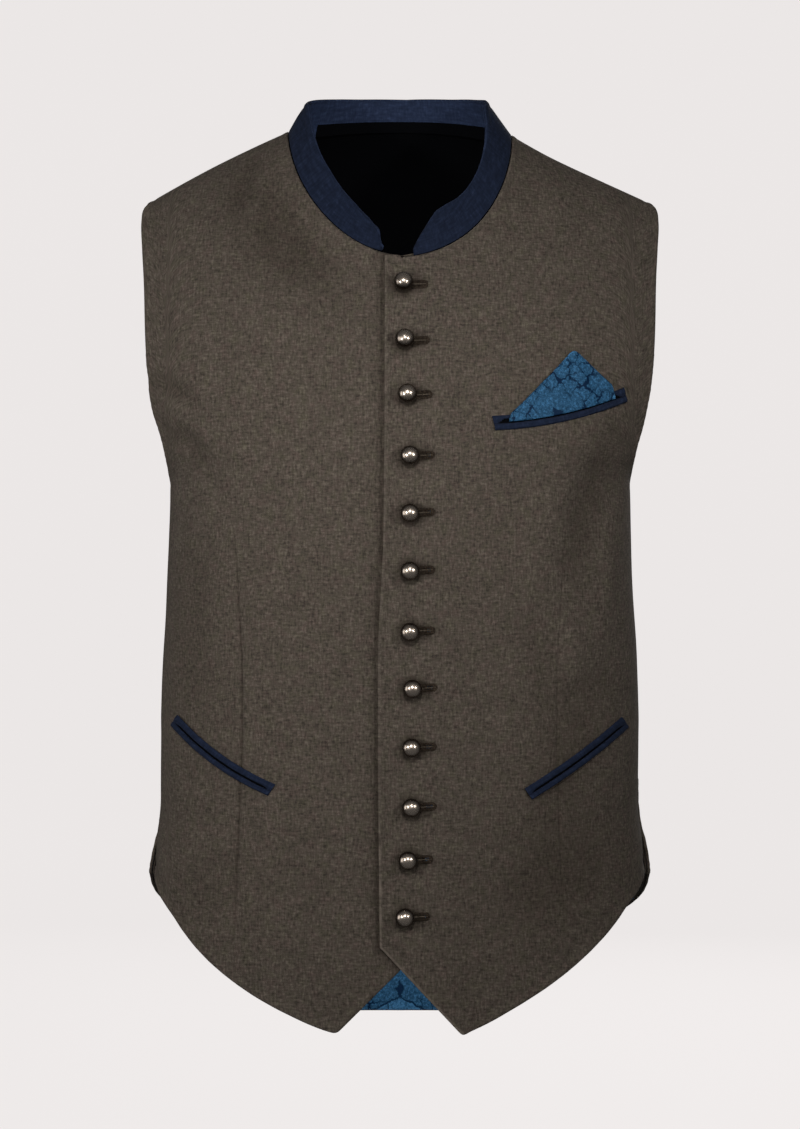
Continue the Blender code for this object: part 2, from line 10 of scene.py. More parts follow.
import bmesh
import bpy
import numpy as np
from bpy.props import FloatProperty, FloatVectorProperty, IntProperty, PointerProperty
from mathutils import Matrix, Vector


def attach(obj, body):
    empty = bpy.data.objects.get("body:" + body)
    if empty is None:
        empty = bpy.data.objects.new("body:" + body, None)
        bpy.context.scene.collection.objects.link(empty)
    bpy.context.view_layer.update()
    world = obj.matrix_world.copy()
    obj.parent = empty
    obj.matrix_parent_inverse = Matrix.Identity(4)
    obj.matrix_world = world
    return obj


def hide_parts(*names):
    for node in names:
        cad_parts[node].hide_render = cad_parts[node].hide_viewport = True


bl_info = {
    "name": "Stand-collar waistcoat",
    "version": (1, 0, 0),
    "blender": (4, 5, 0),
    "location": "View3D > Sidebar > Waistcoat",
    "description": "Builds a filled-out waistcoat around its CAD frame, with its studio",
    "category": "Object",
}

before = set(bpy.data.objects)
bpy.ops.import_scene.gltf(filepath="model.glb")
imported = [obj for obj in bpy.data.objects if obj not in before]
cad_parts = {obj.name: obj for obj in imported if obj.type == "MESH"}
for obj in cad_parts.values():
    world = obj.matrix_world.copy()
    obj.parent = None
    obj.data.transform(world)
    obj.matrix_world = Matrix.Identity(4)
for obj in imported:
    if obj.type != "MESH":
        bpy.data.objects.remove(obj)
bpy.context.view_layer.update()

MM = 0.001
QUARTER = math.pi / 2
SETTLING_STEPS = 16

# Cloth, as it lies from outside to inside
WOOL = 2.2
LINING = 1.0
COLLAR_CLOTH = 1.5
FACING = 1.0
SEAM_GAP = 0.3
LINING_GAP = 0.6

# Body of the garment
ARMPIT = -265.0
SECTION_ROUNDNESS = 2.4
FRONT_YOKE_ROUNDNESS = 1.7
BACK_YOKE_ROUNDNESS = 2.0
CENTRE_RISE = 25.0
NECK_POINT = 80.0
SHOULDER_SLOPE = 1.364
SHOULDER_TIP = 194.0
ROUNDED_TIP = 189.8
LEFT_SHOULDER_SAG = 6.0
SAG_START = 75.0
SAG_LEAN = 0.75

# Horizontal sections: height, half width, depth of the front, depth of the back
SECTIONS = (
    (-700.0, 191.0, 122.0, 114.0),
    (-600.0, 190.5, 122.0, 113.0),
    (-556.0, 187.8, 121.0, 112.0),
    (-536.0, 184.5, 121.0, 111.0),
    (-519.0, 180.2, 121.0, 110.0),
    (-500.0, 178.6, 121.0, 109.0),
    (-444.0, 178.5, 121.0, 107.0),
    (-399.0, 177.4, 122.0, 107.0),
    (-354.0, 175.0, 124.0, 109.0),
    (-309.0, 173.0, 126.0, 111.0),
    (-265.0, 171.5, 127.0, 113.0),
    (-256.0, 174.0, 127.0, 113.0),
    (-246.0, 180.0, 127.0, 113.0),
    (-232.0, 187.0, 127.0, 113.0),
    (-204.0, 198.5, 126.0, 113.0),
    (-174.0, 206.5, 125.0, 112.0),
    (-145.0, 209.5, 124.0, 111.0),
    (-100.0, 210.0, 122.0, 109.0),
    (30.0, 210.0, 122.0, 106.0),
)

# Armhole edge: height, distance from the centre
ARMHOLE = (
    (-265.0, 171.5),
    (-256.0, 172.6),
    (-241.0, 175.0),
    (-226.0, 179.3),
    (-211.0, 182.8),
    (-196.0, 185.6),
    (-175.0, 187.4),
    (-136.0, 189.0),
    (-91.0, 191.8),
    (-72.0, 193.3),
    (-65.5, 193.2),
    (-60.5, 192.0),
    (-57.3, 189.8),
)
BACK_ARMHOLE_INSET = 4.0
ARMHOLE_SPACING = 1.25

# Neck seam. Past the centre line a front's tuck lowers it, in full from the last distance on
NECK_HALF = 84.0
NECK_FRONT_DROP = 99.5
NECK_BACK_RISE = 5.0
LAP_TUCK_AT = 8.0

# Front edge of each front: height, distance past the centre line
OVER_EDGE = (
    (-101.0, 11.0),
    (-207.0, 11.2),
    (-303.0, 12.0),
    (-397.0, 15.9),
    (-500.0, 15.6),
    (-602.0, 14.6),
)
UNDER_EDGE = (
    (-101.0, 20.0),
    (-300.0, 20.0),
    (-601.0, 18.0),
)

# Hem from the point of a front to its side: distance from the centre, height
FRONT_HEM = (
    (46.0, -665.0),
    (60.0, -660.0),
    (83.0, -649.0),
    (108.0, -635.0),
    (127.0, -622.0),
    (144.0, -608.0),
    (157.0, -595.0),
    (168.0, -581.0),
    (179.0, -568.0),
    (187.6, -554.0),
)
# Hem of the back: distance from the centre, height
BACK_HEM = (
    (0.0, -673.2),
    (70.0, -673.2),
    (90.0, -666.0),
    (115.0, -650.0),
    (134.0, -633.0),
    (151.0, -614.0),
    (163.0, -598.5),
    (171.2, -590.6),
    (178.6, -583.8),
    (183.6, -577.6),
    (186.1, -572.2),
    (187.6, -565.6),
    (188.0, -558.7),
)
# Vents: top, how far the back springs out, how far the front hangs in, top of the wool facing
VENT_TOP = -520.0
VENT_OPEN = 3.0
VENT_TUCK = 7.2
VENT_HANG = 34.0
VENT_FACING = -505.0

# The over-front is raised over the under-front, and comes down again past its edge
LAP_LIFT = WOOL + 0.7
LAP_FULL = 24.0
LAP_END = 62.0

# Rows and columns of the CAD's outlines, and how many points of the scene each one gets
FINE = 10
SIDE_ROWS, ARMHOLE_ROWS, NECK_ROWS = 12, 14, 9
DIAGONAL_COLUMNS, HEM_COLUMNS = 5, 12
BACK_SHOULDER_COLUMNS, BACK_NECK_COLUMNS = 6, 12
FRONT_ROWS = SIDE_ROWS + ARMHOLE_ROWS
FRONT_COLUMNS = DIAGONAL_COLUMNS + HEM_COLUMNS
VENT_POINTS = 3 * FINE
SIDE_POINTS = SIDE_ROWS * FINE

# Fine cells, as shares of a strip's width: at an edge, at a front's point, at a dart, down the back
EDGE_CELLS = np.array([0.0, 0.34, 0.5, 0.66, 0.83, 1.0])
TIP_CELLS = np.array([-0.66, -0.33, 0.0, 0.33, 0.66, 1.0])
DART_CELLS = np.array([-0.6, -0.3, -0.14, -0.06, 0.0, 0.06, 0.14, 0.3, 0.6, 1.0])
MIDDLE_CELLS = np.array([-0.5, -0.22, -0.08, 0.0, 0.08, 0.22, 0.5])
# Widths of those strips, as shares of the panel
HEM_STRIP, TOP_STRIP, SIDE_STRIP = 0.012, 0.016, 0.036
TIP_STRIP, DART_STRIP, MIDDLE_STRIP = 0.018, 0.028, 0.012

# Collar band: share of the way from the front end to the centre back, rise and inward lean
COLLAR_BAND_RIGHT = (
    (0.000, 4.0, -0.6),
    (0.004, 7.6, 0.2),
    (0.009, 11.2, 1.2),
    (0.018, 15.0, 3.4),
    (0.045, 17.6, 9.8),
    (0.080, 19.3, 13.2),
    (0.142, 19.0, 16.0),
    (0.214, 16.8, 17.6),
    (0.288, 15.5, 18.0),
    (0.364, 14.6, 17.2),
    (0.442, 14.3, 16.6),
    (0.522, 16.4, 16.4),
    (0.605, 21.0, 15.6),
    (0.691, 23.3, 12.4),
    (0.778, 22.4, 9.2),
    (0.866, 21.4, 7.0),
    (1.000, 21.0, 5.4),
)
COLLAR_BAND_LEFT = (
    (0.000, 5.0, 3.0),
    (0.020, 12.5, 6.0),
    (0.045, 19.0, 7.9),
    (0.071, 24.0, 9.8),
    (0.100, 26.4, 12.6),
    (0.142, 25.4, 14.2),
    (0.214, 20.8, 15.4),
    (0.288, 17.7, 16.0),
    (0.364, 16.4, 16.4),
    (0.442, 15.6, 17.2),
    (0.522, 16.8, 18.6),
    (0.605, 22.0, 21.4),
    (0.691, 25.8, 20.0),
    (0.778, 24.4, 12.4),
    (0.866, 22.4, 7.2),
    (1.000, 21.0, 5.4),
)
COLLAR_AXIS_Y = -42.0
COLLAR_BELLY = 1.2
COLLAR_GAP = 0.55
# Near-black foot of the facing, painted shade where it shows at the back: its share of the height, its
# half width
FACING_FOOT = 0.31
FACING_HALF = 66.0

# Buttons: distance from the centre line, height
BUTTONS = (
    (2.4, -125.2),
    (3.5, -166.2),
    (5.3, -205.5),
    (7.1, -248.8),
    (7.1, -289.4),
    (7.1, -330.8),
    (7.1, -374.5),
    (8.9, -415.6),
    (8.2, -458.2),
    (8.2, -501.2),
    (5.7, -539.2),
    (3.5, -580.4),
)
# Buttonholes: ends of the slot from the shank, its width, its thread's height and its slant
HOLE_START = -2.4
HOLE_END = 15.0
HOLE_SLOT = 3.8
HOLE_THREAD = 0.8
HOLE_TILT = math.radians(2.5)
# The tool that cuts a slot: its radius, its depth and how far inside the cloth its middle lies
SLOT_RADIUS = 1.5
SLOT_DEPTH = 16.0
SLOT_INWARDS = 1.1

# Pockets: ends of the opening as distance from the centre and height, and its sag
LOWER_POCKETS = {
    "under": ((165.5, -441.0), (92.5, -489.5), 4.5),
    "over": ((165.0, -442.5), (92.5, -492.5), 1.5),
}
BREAST_POCKET = ((67.2, -224.7), (164.2, -202.4), 4.6)
JET_THICKNESS = 0.9
JET_SLIT = 0.7
SLIT_DROP = 0.7
WELT_THICKNESS = 1.3
# Pocket square above the slit: share of the slit's length, height of its folded edge
SQUARE_EDGE = (
    (0.115, 2.0),
    (0.130, 6.5),
    (0.190, 11.0),
    (0.350, 24.7),
    (0.503, 37.0),
    (0.571, 43.0),
    (0.600, 43.8),
    (0.627, 42.4),
    (0.710, 32.5),
    (0.790, 22.5),
    (0.883, 11.6),
    (0.902, 5.0),
    (0.912, 2.0),
)
SQUARE_TIP = (0.600, 38.0)
SQUARE_CLOTH = 1.3

# Lozenges of the damask: their repeat, and how far below the armpit one stands
LOZENGE_REPEAT = 60.0
LOZENGE_HEIGHT = 392.0

# Relief of the sewing: depth and half width, and for a pressed edge the distance from its fold
SEAM = (0.5, 2.4)
FRONT_DART_SEAM = ((1.1, 0.75), (0.8, 7.0))
BACK_DART_SEAM = (1.0, 4.0)
CENTRE_SEAM = ((0.7, 0.8), (0.5, 5.0))
LAP_SEAM = (1.5, 3.4)
EDGE_PLUMP = (0.38, 2.4, 2.6)
EDGE_HELD = (0.34, 1.5, 6.6)
# Creases fade out within this distance of the neck and shoulder seams
CALM = 26.0

# Facings inside the back: where the yoke's begins, as a climb, and the vents', as a turn. The yoke's is
# near-black as painted shade, and the vents' wool carries painted shade
YOKE_FACING = 0.42
VENT_FACING_TURN = 1.22

# Darts, as distance from the centre and height
FRONT_DART = (
    (121.0, -300.0),
    (118.0, -342.0),
    (116.0, -373.0),
    (115.0, -405.0),
    (115.0, -456.0),
    (116.5, -491.0),
    (119.0, -554.0),
    (121.0, -616.0),
)
BACK_DART = (
    (78.0, -240.0),
    (80.0, -330.0),
    (82.0, -430.0),
    (80.0, -520.0),
    (76.0, -600.0),
)

# Soft creases: line as x and height, depth (below nought a trough) and half width
UNDER_CREASES = (
    (((-184, -190), (-166, -198), (-146, -214)), -3.0, 6.0),
    (((-176, -210), (-162, -211), (-148, -220)), 1.6, 6.0),
    (((-178, -226), (-158, -234), (-136, -258)), -2.6, 7.0),
    (((-168, -262), (-146, -276), (-134, -304)), 1.0, 10.0),
    (((-110, -26), (-118, -44), (-124, -66)), -2.6, 5.0),
    (((-98, -34), (-106, -56), (-112, -82)), 1.4, 7.0),
    (((-118, -30), (-96, -72), (-74, -104), (-52, -132)), -4.6, 27.0),
    (((-74, -120), (-96, -150), (-120, -190)), 1.8, 22.0),
    (((-150, -300), (-154, -380), (-150, -450)), -1.6, 17.0),
    (((-128, -540), (-146, -566), (-150, -590)), -1.6, 18.0),
    (((-70, -352), (-100, -356), (-128, -350)), 0.7, 10.0),
    (((-28, -560), (-70, -548), (-112, -556)), -0.6, 12.0),
    (((-40, -610), (-80, -600), (-120, -590)), 0.6, 12.0),
)
OVER_CREASES = (
    (((161, -228), (144, -258), (131, -300), (128, -345)), -3.2, 13.0),
    (((134, -226), (118, -256), (106, -296), (101, -345)), 1.8, 14.0),
    (((168, -270), (158, -300), (152, -340), (148, -388)), 2.2, 9.0),
    (((127, -362), (127, -384), (129, -404)), 2.0, 10.0),
    (((96, -350), (104, -400), (100, -440)), -1.4, 11.0),
    (((100, -318), (116, -324), (134, -321)), -0.8, 7.0),
    (((84, -26), (92, -42), (96, -64)), -1.3, 6.0),
    (((108, -38), (114, -54), (116, -76)), 1.2, 7.0),
    (((130, -50), (134, -66), (134, -86)), -0.9, 7.0),
    (((60, -298), (84, -294), (108, -300)), -0.7, 9.0),
    (((118, -424), (138, -414), (162, -416)), -1.5, 9.0),
    (((70, -590), (110, -560), (160, -520)), -4.0, 36.0),
    (((100, -520), (124, -470), (140, -410)), -2.6, 24.0),
    (((48, -604), (84, -594), (120, -588)), 0.7, 12.0),
)
BACK_CREASES = (
    (((-168, -226), (-140, -262), (-118, -316)), -2.2, 13.0),
    (((-172, -262), (-150, -298), (-138, -352)), 1.4, 12.0),
    (((170, -232), (144, -270), (124, -330)), -2.4, 12.0),
    (((172, -268), (152, -306), (142, -360)), 1.5, 11.0),
    (((-110, -30), (-128, -58), (-136, -92)), -1.4, 9.0),
    (((112, -34), (126, -64), (130, -98)), -1.2, 9.0),
    (((-70, -36), (-30, -48), (34, -46), (72, -34)), -1.1, 9.0),
    (((-120, -392), (-60, -402), (-16, -396)), -1.0, 12.0),
    (((18, -380), (66, -388), (122, -380)), -1.2, 13.0),
    (((-110, -432), (-64, -428), (-22, -434)), 0.9, 12.0),
    (((24, -424), (70, -430), (118, -426)), 0.8, 12.0),
    (((-60, -560), (-90, -600), (-96, -640)), -0.9, 15.0),
    (((52, -556), (84, -596), (92, -640)), 0.9, 15.0),
)


class Profile:
    """A smooth line through a table's rows that never overshoots them."""

    def __init__(self, rows, column=1):
        rows = sorted(rows)
        self.keys = np.array([row[0] for row in rows])
        self.values = np.array([row[column] for row in rows])
        step = np.diff(self.values) / np.diff(self.keys)
        slopes = np.concatenate([step[:1], step, step[-1:]])
        before, after = slopes[:-1], slopes[1:]
        same = before * after > 0
        mean = 2 * before * after / np.where(same, before + after, 1.0)
        self.slopes = np.where(same, mean, 0.0)
        self.slopes[0], self.slopes[-1] = step[0], step[-1]

    def __call__(self, key):
        key = np.clip(key, self.keys[0], self.keys[-1])
        i = np.clip(np.searchsorted(self.keys, key, side="right") - 1, 0, len(self.keys) - 2)
        width = self.keys[i + 1] - self.keys[i]
        t = (key - self.keys[i]) / width
        blend = t * t * (3 - 2 * t)
        ends = self.values[i] * (1 - blend) + self.values[i + 1] * blend
        bend = t * (1 - t) ** 2 * self.slopes[i] - t * t * (1 - t) * self.slopes[i + 1]
        return ends + width * bend


HALF_WIDTH = Profile(SECTIONS, 1)
FRONT_DEPTH = Profile(SECTIONS, 2)
BACK_DEPTH = Profile(SECTIONS, 3)
ARMHOLE_LINE = Profile(ARMHOLE)
FRONT_HEM_LINE = Profile(FRONT_HEM)
BACK_HEM_LINE = Profile(BACK_HEM)


def ease(share):
    """A smooth step from 0 to 1."""
    share = np.clip(share, 0.0, 1.0)
    return share * share * (3 - 2 * share)


def signed_power(value, power):
    return np.copysign(np.abs(value) ** power, value)


def shoulder(x):
    """Height of the shoulder line at this x. The wearer's left shoulder is a little hollower."""
    height = CENTRE_RISE * (1 - (np.abs(x) / NECK_POINT) ** SHOULDER_SLOPE)
    share = np.clip((x - SAG_START) / (SHOULDER_TIP - SAG_START), 0.0, 1.0) ** SAG_LEAN
    return height - LEFT_SHOULDER_SAG * np.sin(np.pi * share)


class Shell:
    """The outer surface of the front or of the back, from a turn round the body and a climb."""

    def __init__(self, facing, depth, yoke_roundness):
        self.facing = facing
        self.depth = depth
        self.yoke = yoke_roundness

    def places(self, x, z):
        """Turn and climb of points seen from ahead."""
        x, z = np.broadcast_arrays(np.asarray(x, float), np.asarray(z, float))
        share = np.minimum(np.abs(x) / HALF_WIDTH(z), 1.0)
        turn = np.copysign(np.arcsin(share ** (SECTION_ROUNDNESS / 2)), x)
        climb = (z - ARMPIT) / (shoulder(x) - ARMPIT)
        above = np.arcsin(np.clip(climb, 0.0, 1.0) ** (self.yoke / 2))
        return np.stack([turn, np.where(climb > 0, above, climb)], axis=-1)

    def points(self, places):
        turn, climb = places[..., 0], places[..., 1]
        x = np.zeros_like(turn)
        rise = np.sin(np.clip(climb, 0.0, QUARTER)) ** (2 / self.yoke)
        share = np.where(climb < 0, climb, rise)
        for _ in range(SETTLING_STEPS):
            z = ARMPIT + (shoulder(x) - ARMPIT) * share
            x = HALF_WIDTH(z) * signed_power(np.sin(turn), 2 / SECTION_ROUNDNESS)
        depth = self.depth(z) * np.maximum(np.cos(turn), 0.0) ** (2 / SECTION_ROUNDNESS)
        yoke = np.maximum(np.cos(np.clip(climb, 0.0, QUARTER)), 0.0) ** (2 / self.yoke)
        return np.stack([x, self.facing * (depth * yoke + SEAM_GAP / 2), z], axis=-1)

    def out(self, x, z):
        """Depth of the surface at points seen from ahead."""
        wide = np.clip(np.abs(x) / HALF_WIDTH(z), 0.0, 1.0) ** SECTION_ROUNDNESS
        high = np.clip((z - ARMPIT) / (shoulder(x) - ARMPIT), 0.0, 1.0) ** self.yoke
        depth = self.depth(z) * (1 - wide) ** (1 / SECTION_ROUNDNESS)
        depth *= (1 - high) ** (1 / self.yoke)
        return self.facing * (depth + SEAM_GAP / 2)

    def unrolled(self, x, z):
        """Lengths along the cloth from the centre line and from the armpit's height."""
        steps = 40
        turn = self.places(x, z)[..., 0]
        across = np.zeros_like(x)
        up = np.zeros_like(x)
        last_across = (np.zeros_like(x), self.out(np.zeros_like(x), z))
        last_up = (np.full_like(x, ARMPIT), self.out(x, np.full_like(x, ARMPIT)))
        for k in range(1, steps + 1):
            share = k / steps
            here = HALF_WIDTH(z) * signed_power(np.sin(turn * share), 2 / SECTION_ROUNDNESS)
            depth = self.out(here, z)
            across += np.hypot(here - last_across[0], depth - last_across[1])
            last_across = (here, depth)
            height = ARMPIT + (z - ARMPIT) * share
            depth = self.out(x, height)
            up += np.hypot(height - last_up[0], depth - last_up[1])
            last_up = (height, depth)
        return np.stack([np.copysign(across, x), np.copysign(up, z - ARMPIT)], axis=-1)


FRONT = Shell(-1, FRONT_DEPTH, FRONT_YOKE_ROUNDNESS)
BACK = Shell(1, BACK_DEPTH, BACK_YOKE_ROUNDNESS)


def front_facts(edge, **facts):
    """What sets one front apart, with its front edge as a smooth line and as its two ends."""
    return SimpleNamespace(edge=Profile(edge), top=edge[0], bottom=edge[-1], **facts)


UNDER = front_facts(
    UNDER_EDGE, node="front_under", sign=-1, lifted=False, creases=UNDER_CREASES, seed=3,
    hem_fall=3.0, tip_drop=0.0, neck_roundness=1.78, tuck=2.5, collar_end=13.5,
    pockets=(LOWER_POCKETS["under"],), dart_depth=1.0, dart_dark=0.38, flat_area=0.1445,
)
OVER = front_facts(
    OVER_EDGE, node="front_over", sign=1, lifted=True, creases=OVER_CREASES, seed=7,
    hem_fall=-4.5, tip_drop=2.2, neck_roundness=2.0, tuck=0.0, collar_end=10.0,
    pockets=(LOWER_POCKETS["over"], BREAST_POCKET), dart_depth=0.5, dart_dark=0.20, flat_area=0.141,
)


def lap_lift(x):
    """How far the over-front stands out at this distance to the wearer's left."""
    return LAP_LIFT * ease((LAP_END - x) / (LAP_END - LAP_FULL))


def unit(vectors):
    return vectors / np.maximum(np.linalg.norm(vectors, axis=-1, keepdims=True), 1e-9)


def grid_normals(grid, outwards):
    """Unit normals of a grid of points. They point the way that outwards does."""
    across, up = np.gradient(grid, axis=1), np.gradient(grid, axis=0)
    normals = unit(np.cross(across, up))
    flip = np.sign((normals * outwards).sum(axis=-1, keepdims=True).mean())
    return normals * flip


def bell(distance, half_width):
    """1 at no distance, and falling away smoothly round the half width."""
    return np.exp(-((distance / half_width) ** 2))


def surface(shell, x, z, lifted):
    """Points and normals of a shell's outer face, seen from ahead."""
    step = 0.5
    x, z = np.broadcast_arrays(np.asarray(x, float), np.asarray(z, float))

    def at(x, z):
        return np.stack([x, shell.out(x, z), z], axis=-1)

    across = at(x + step, z) - at(x - step, z)
    up = at(x, z + step) - at(x, z - step)
    normals = unit(np.cross(across, up))
    normals *= np.sign(normals[..., 1:2]) * shell.facing
    points = at(x, z)
    if lifted:
        points = points + normals * lap_lift(x)[..., None]
    return points, normals


def distance_to_line(x, z, line):
    """Distance to a line seen from ahead, and the share of the line that is nearest."""
    line = np.asarray(line, float)
    lengths = np.hypot(*np.diff(line, axis=0).T)
    along = np.concatenate([[0.0], np.cumsum(lengths)]) / lengths.sum()
    best = np.full(x.shape, np.inf)
    share = np.zeros(x.shape)
    for k, (first, second) in enumerate(zip(line, line[1:])):
        step = second - first
        t = ((x - first[0]) * step[0] + (z - first[1]) * step[1]) / (step @ step)
        t = np.clip(t, 0.0, 1.0)
        away = np.hypot(x - first[0] - t * step[0], z - first[1] - t * step[1])
        near = away < best
        best = np.where(near, away, best)
        share = np.where(near, along[k] + t * (along[k + 1] - along[k]), share)
    return best, share


def smooth_line(points, count=24, passes=4):
    """The points of a line with its corners rounded."""
    points = np.asarray(points, float)
    at = np.linspace(0, len(points) - 1, count)
    keys = np.arange(len(points))
    line = np.stack([np.interp(at, keys, points[:, k]) for k in range(2)], axis=1)
    for _ in range(passes):
        line[1:-1] = (line[:-2] + 2 * line[1:-1] + line[2:]) / 4
    return line


def crease_heights(x, z, creases):
    """How far the soft creases raise or sink the cloth. Each fades towards its ends."""
    height = np.zeros(x.shape)
    for line, depth, half_width in creases:
        away, share = distance_to_line(x, z, smooth_line(line))
        fade = np.sin(np.pi * np.clip(share * 0.86 + 0.07, 0.0, 1.0)) ** 0.8
        height += depth * fade * bell(away, half_width)
    return height


def slackness(x, z, seed, waves=9):
    """The slight unevenness of cloth that is nowhere pulled tight: long, low waves."""
    rng = np.random.default_rng(seed)
    height = np.zeros(x.shape)
    for _ in range(waves):
        length = rng.uniform(55.0, 130.0)
        angle = rng.uniform(-0.7, 0.7) + (QUARTER if rng.random() < 0.35 else 0.0)
        phase = rng.uniform(0.0, math.tau)
        wave = (x * math.cos(angle) + z * math.sin(angle)) * math.tau / length
        wander = 0.8 * np.sin(z / 90.0 + phase)
        height += np.sin(wave + phase + wander) * rng.uniform(0.05, 0.16)
    return height


def resample(line, share):
    """Points at these shares of a line's points."""
    at = np.clip(share, 0.0, 1.0) * (len(line) - 1)
    i = np.clip(at.astype(int), 0, len(line) - 2)
    t = (at - i)[..., None]
    return line[i] * (1 - t) + line[i + 1] * t


def patch(bottom, top, left, right, u, v):
    """Turn and climb inside four sides, at shares across and up."""
    low, high = resample(bottom, u), resample(top, u)
    first, last = resample(left, v), resample(right, v)
    u, v = u[..., None], v[..., None]
    flat_low = bottom[0] * (1 - u) + bottom[-1] * u
    flat_high = top[0] * (1 - u) + top[-1] * u
    flat = flat_low * (1 - v) + flat_high * v
    return first * (1 - u) + last * u + low * (1 - v) + high * v - flat


def stops(*parts):
    """One rising list of shares from pieces given as (start, end, count)."""
    out = [parts[0][0]]
    for start, end, count in parts:
        out += list(np.linspace(start, end, count + 1)[1:])
    return np.array(out)


def neck_height(x, sign, roundness):
    """Height of a front's neck seam at this distance from the centre."""
    share = 1 - np.minimum(np.abs(x) / NECK_HALF, 1.0) ** roundness
    return shoulder(sign * NECK_HALF) - NECK_FRONT_DROP * share ** (1 / roundness)


def front_neck(front, count):
    """Points of a front's neck seam as seen from ahead, from its centre end to the shoulder."""
    first = math.asin((front.top[1] / NECK_HALF) ** (front.neck_roundness / 2))
    angle = np.linspace(-first, QUARTER, count + 1)
    x = NECK_HALF * signed_power(np.sin(angle), 2 / front.neck_roundness)
    tucked = front.tuck * np.clip(-x / LAP_TUCK_AT, 0.0, 1.0)
    z = neck_height(x, front.sign, front.neck_roundness) - tucked
    return np.stack([x * front.sign, z], axis=1)


def back_neck(count):
    """Points of the back's neck seam, from the wearer's right to the left."""
    x = NECK_HALF * np.sin(np.linspace(-1.0, 1.0, count + 1) * QUARTER)
    drop = NECK_BACK_RISE - shoulder(np.copysign(NECK_HALF, x))
    return np.stack([x, NECK_BACK_RISE - drop * (x / NECK_HALF) ** 2], axis=1)


def side_edge(shell, sign, hem_height, inset):
    """Side seam, with its vent, and armhole edge, from the hem to the shoulder tip."""
    z = np.linspace(hem_height, ARMPIT, SIDE_POINTS + 1)
    side = shell.places(sign * HALF_WIDTH(z), z)
    opening = np.clip((VENT_TOP - z) / (VENT_TOP - hem_height), 0.0, 1.0)
    side[:, 0] -= sign * (VENT_OPEN * opening / shell.depth(z)) ** (SECTION_ROUNDNESS / 2)
    share = np.linspace(0.0, 1.0, ARMHOLE_ROWS * FINE + 1)[1:]
    rise = shoulder(sign * ROUNDED_TIP) - ARMPIT
    z = ARMPIT + rise * np.sin(share * QUARTER) ** ARMHOLE_SPACING
    x = ARMHOLE_LINE(z) - inset * np.sin(share * np.pi)
    armhole = shell.places(sign * x, z)
    armhole[-1, 1] = QUARTER
    return np.concatenate([side, armhole])


def front_points(places):
    """Points of a front, which hangs straight at the vents where the back springs out."""
    points = FRONT.points(places)
    low = ease((VENT_TOP - points[..., 2]) / VENT_HANG)
    aside = (np.abs(places[..., 0]) / QUARTER) ** 6
    points[..., 0] -= np.sign(points[..., 0]) * VENT_TUCK * low * aside
    return points


def front_outline(front):
    """The four sides of a front: bottom, top, front edge with neck, side with armhole."""
    sign = front.sign
    tip = np.array(FRONT_HEM[0]) - np.array([0.0, front.tip_drop])
    corner = np.array([-front.bottom[1], front.bottom[0]])
    side = side_edge(FRONT, sign, FRONT_HEM[-1][1], 0.0)
    neck = front_neck(front, NECK_ROWS * FINE)
    z = np.linspace(corner[1], neck[0][1], (FRONT_ROWS - NECK_ROWS) * FINE + 1)[:-1]
    edge = FRONT.places(-sign * front.edge(z), z)
    neck_places = FRONT.places(neck[:, 0], neck[:, 1])
    neck_places[-1, 1] = QUARTER
    centre = np.concatenate([edge, neck_places])
    share = np.linspace(0.0, 1.0, DIAGONAL_COLUMNS * FINE + 1)[:, None]
    diagonal = corner * (1 - share) + tip * share
    share = np.linspace(0.0, 1.0, HEM_COLUMNS * FINE + 1)[1:]
    x = tip[0] + (FRONT_HEM[-1][0] - tip[0]) * np.sin(share * QUARTER)
    hem_z = FRONT_HEM_LINE(x) - front.hem_fall * np.sin(share * np.pi)
    bottom = np.concatenate([diagonal, np.stack([x, hem_z], axis=1)])
    tip_at = DIAGONAL_COLUMNS * FINE
    for _ in range(4):
        near = bottom[tip_at - 4:tip_at + 5]
        bottom[tip_at - 3:tip_at + 4] = (near[:-2] + 2 * near[1:-1] + near[2:]) / 4
    bottom = FRONT.places(sign * bottom[:, 0], bottom[:, 1])
    bottom[0], bottom[-1] = centre[0], side[0]
    x = np.linspace(NECK_HALF, ROUNDED_TIP, len(bottom))
    top = FRONT.places(sign * x, shoulder(sign * x))
    top[:, 1] = QUARTER
    top[0], top[-1] = centre[-1], side[-1]
    return bottom, top, centre, side


def rows_with_edges(shares):
    """Shares of the way up a panel, with fine cells in place of those at the hem and the top."""
    inside = shares[(shares > HEM_STRIP + 0.002) & (shares < 1 - TOP_STRIP - 0.002)]
    return np.concatenate([EDGE_CELLS * HEM_STRIP, inside, 1 - EDGE_CELLS[::-1] * TOP_STRIP])


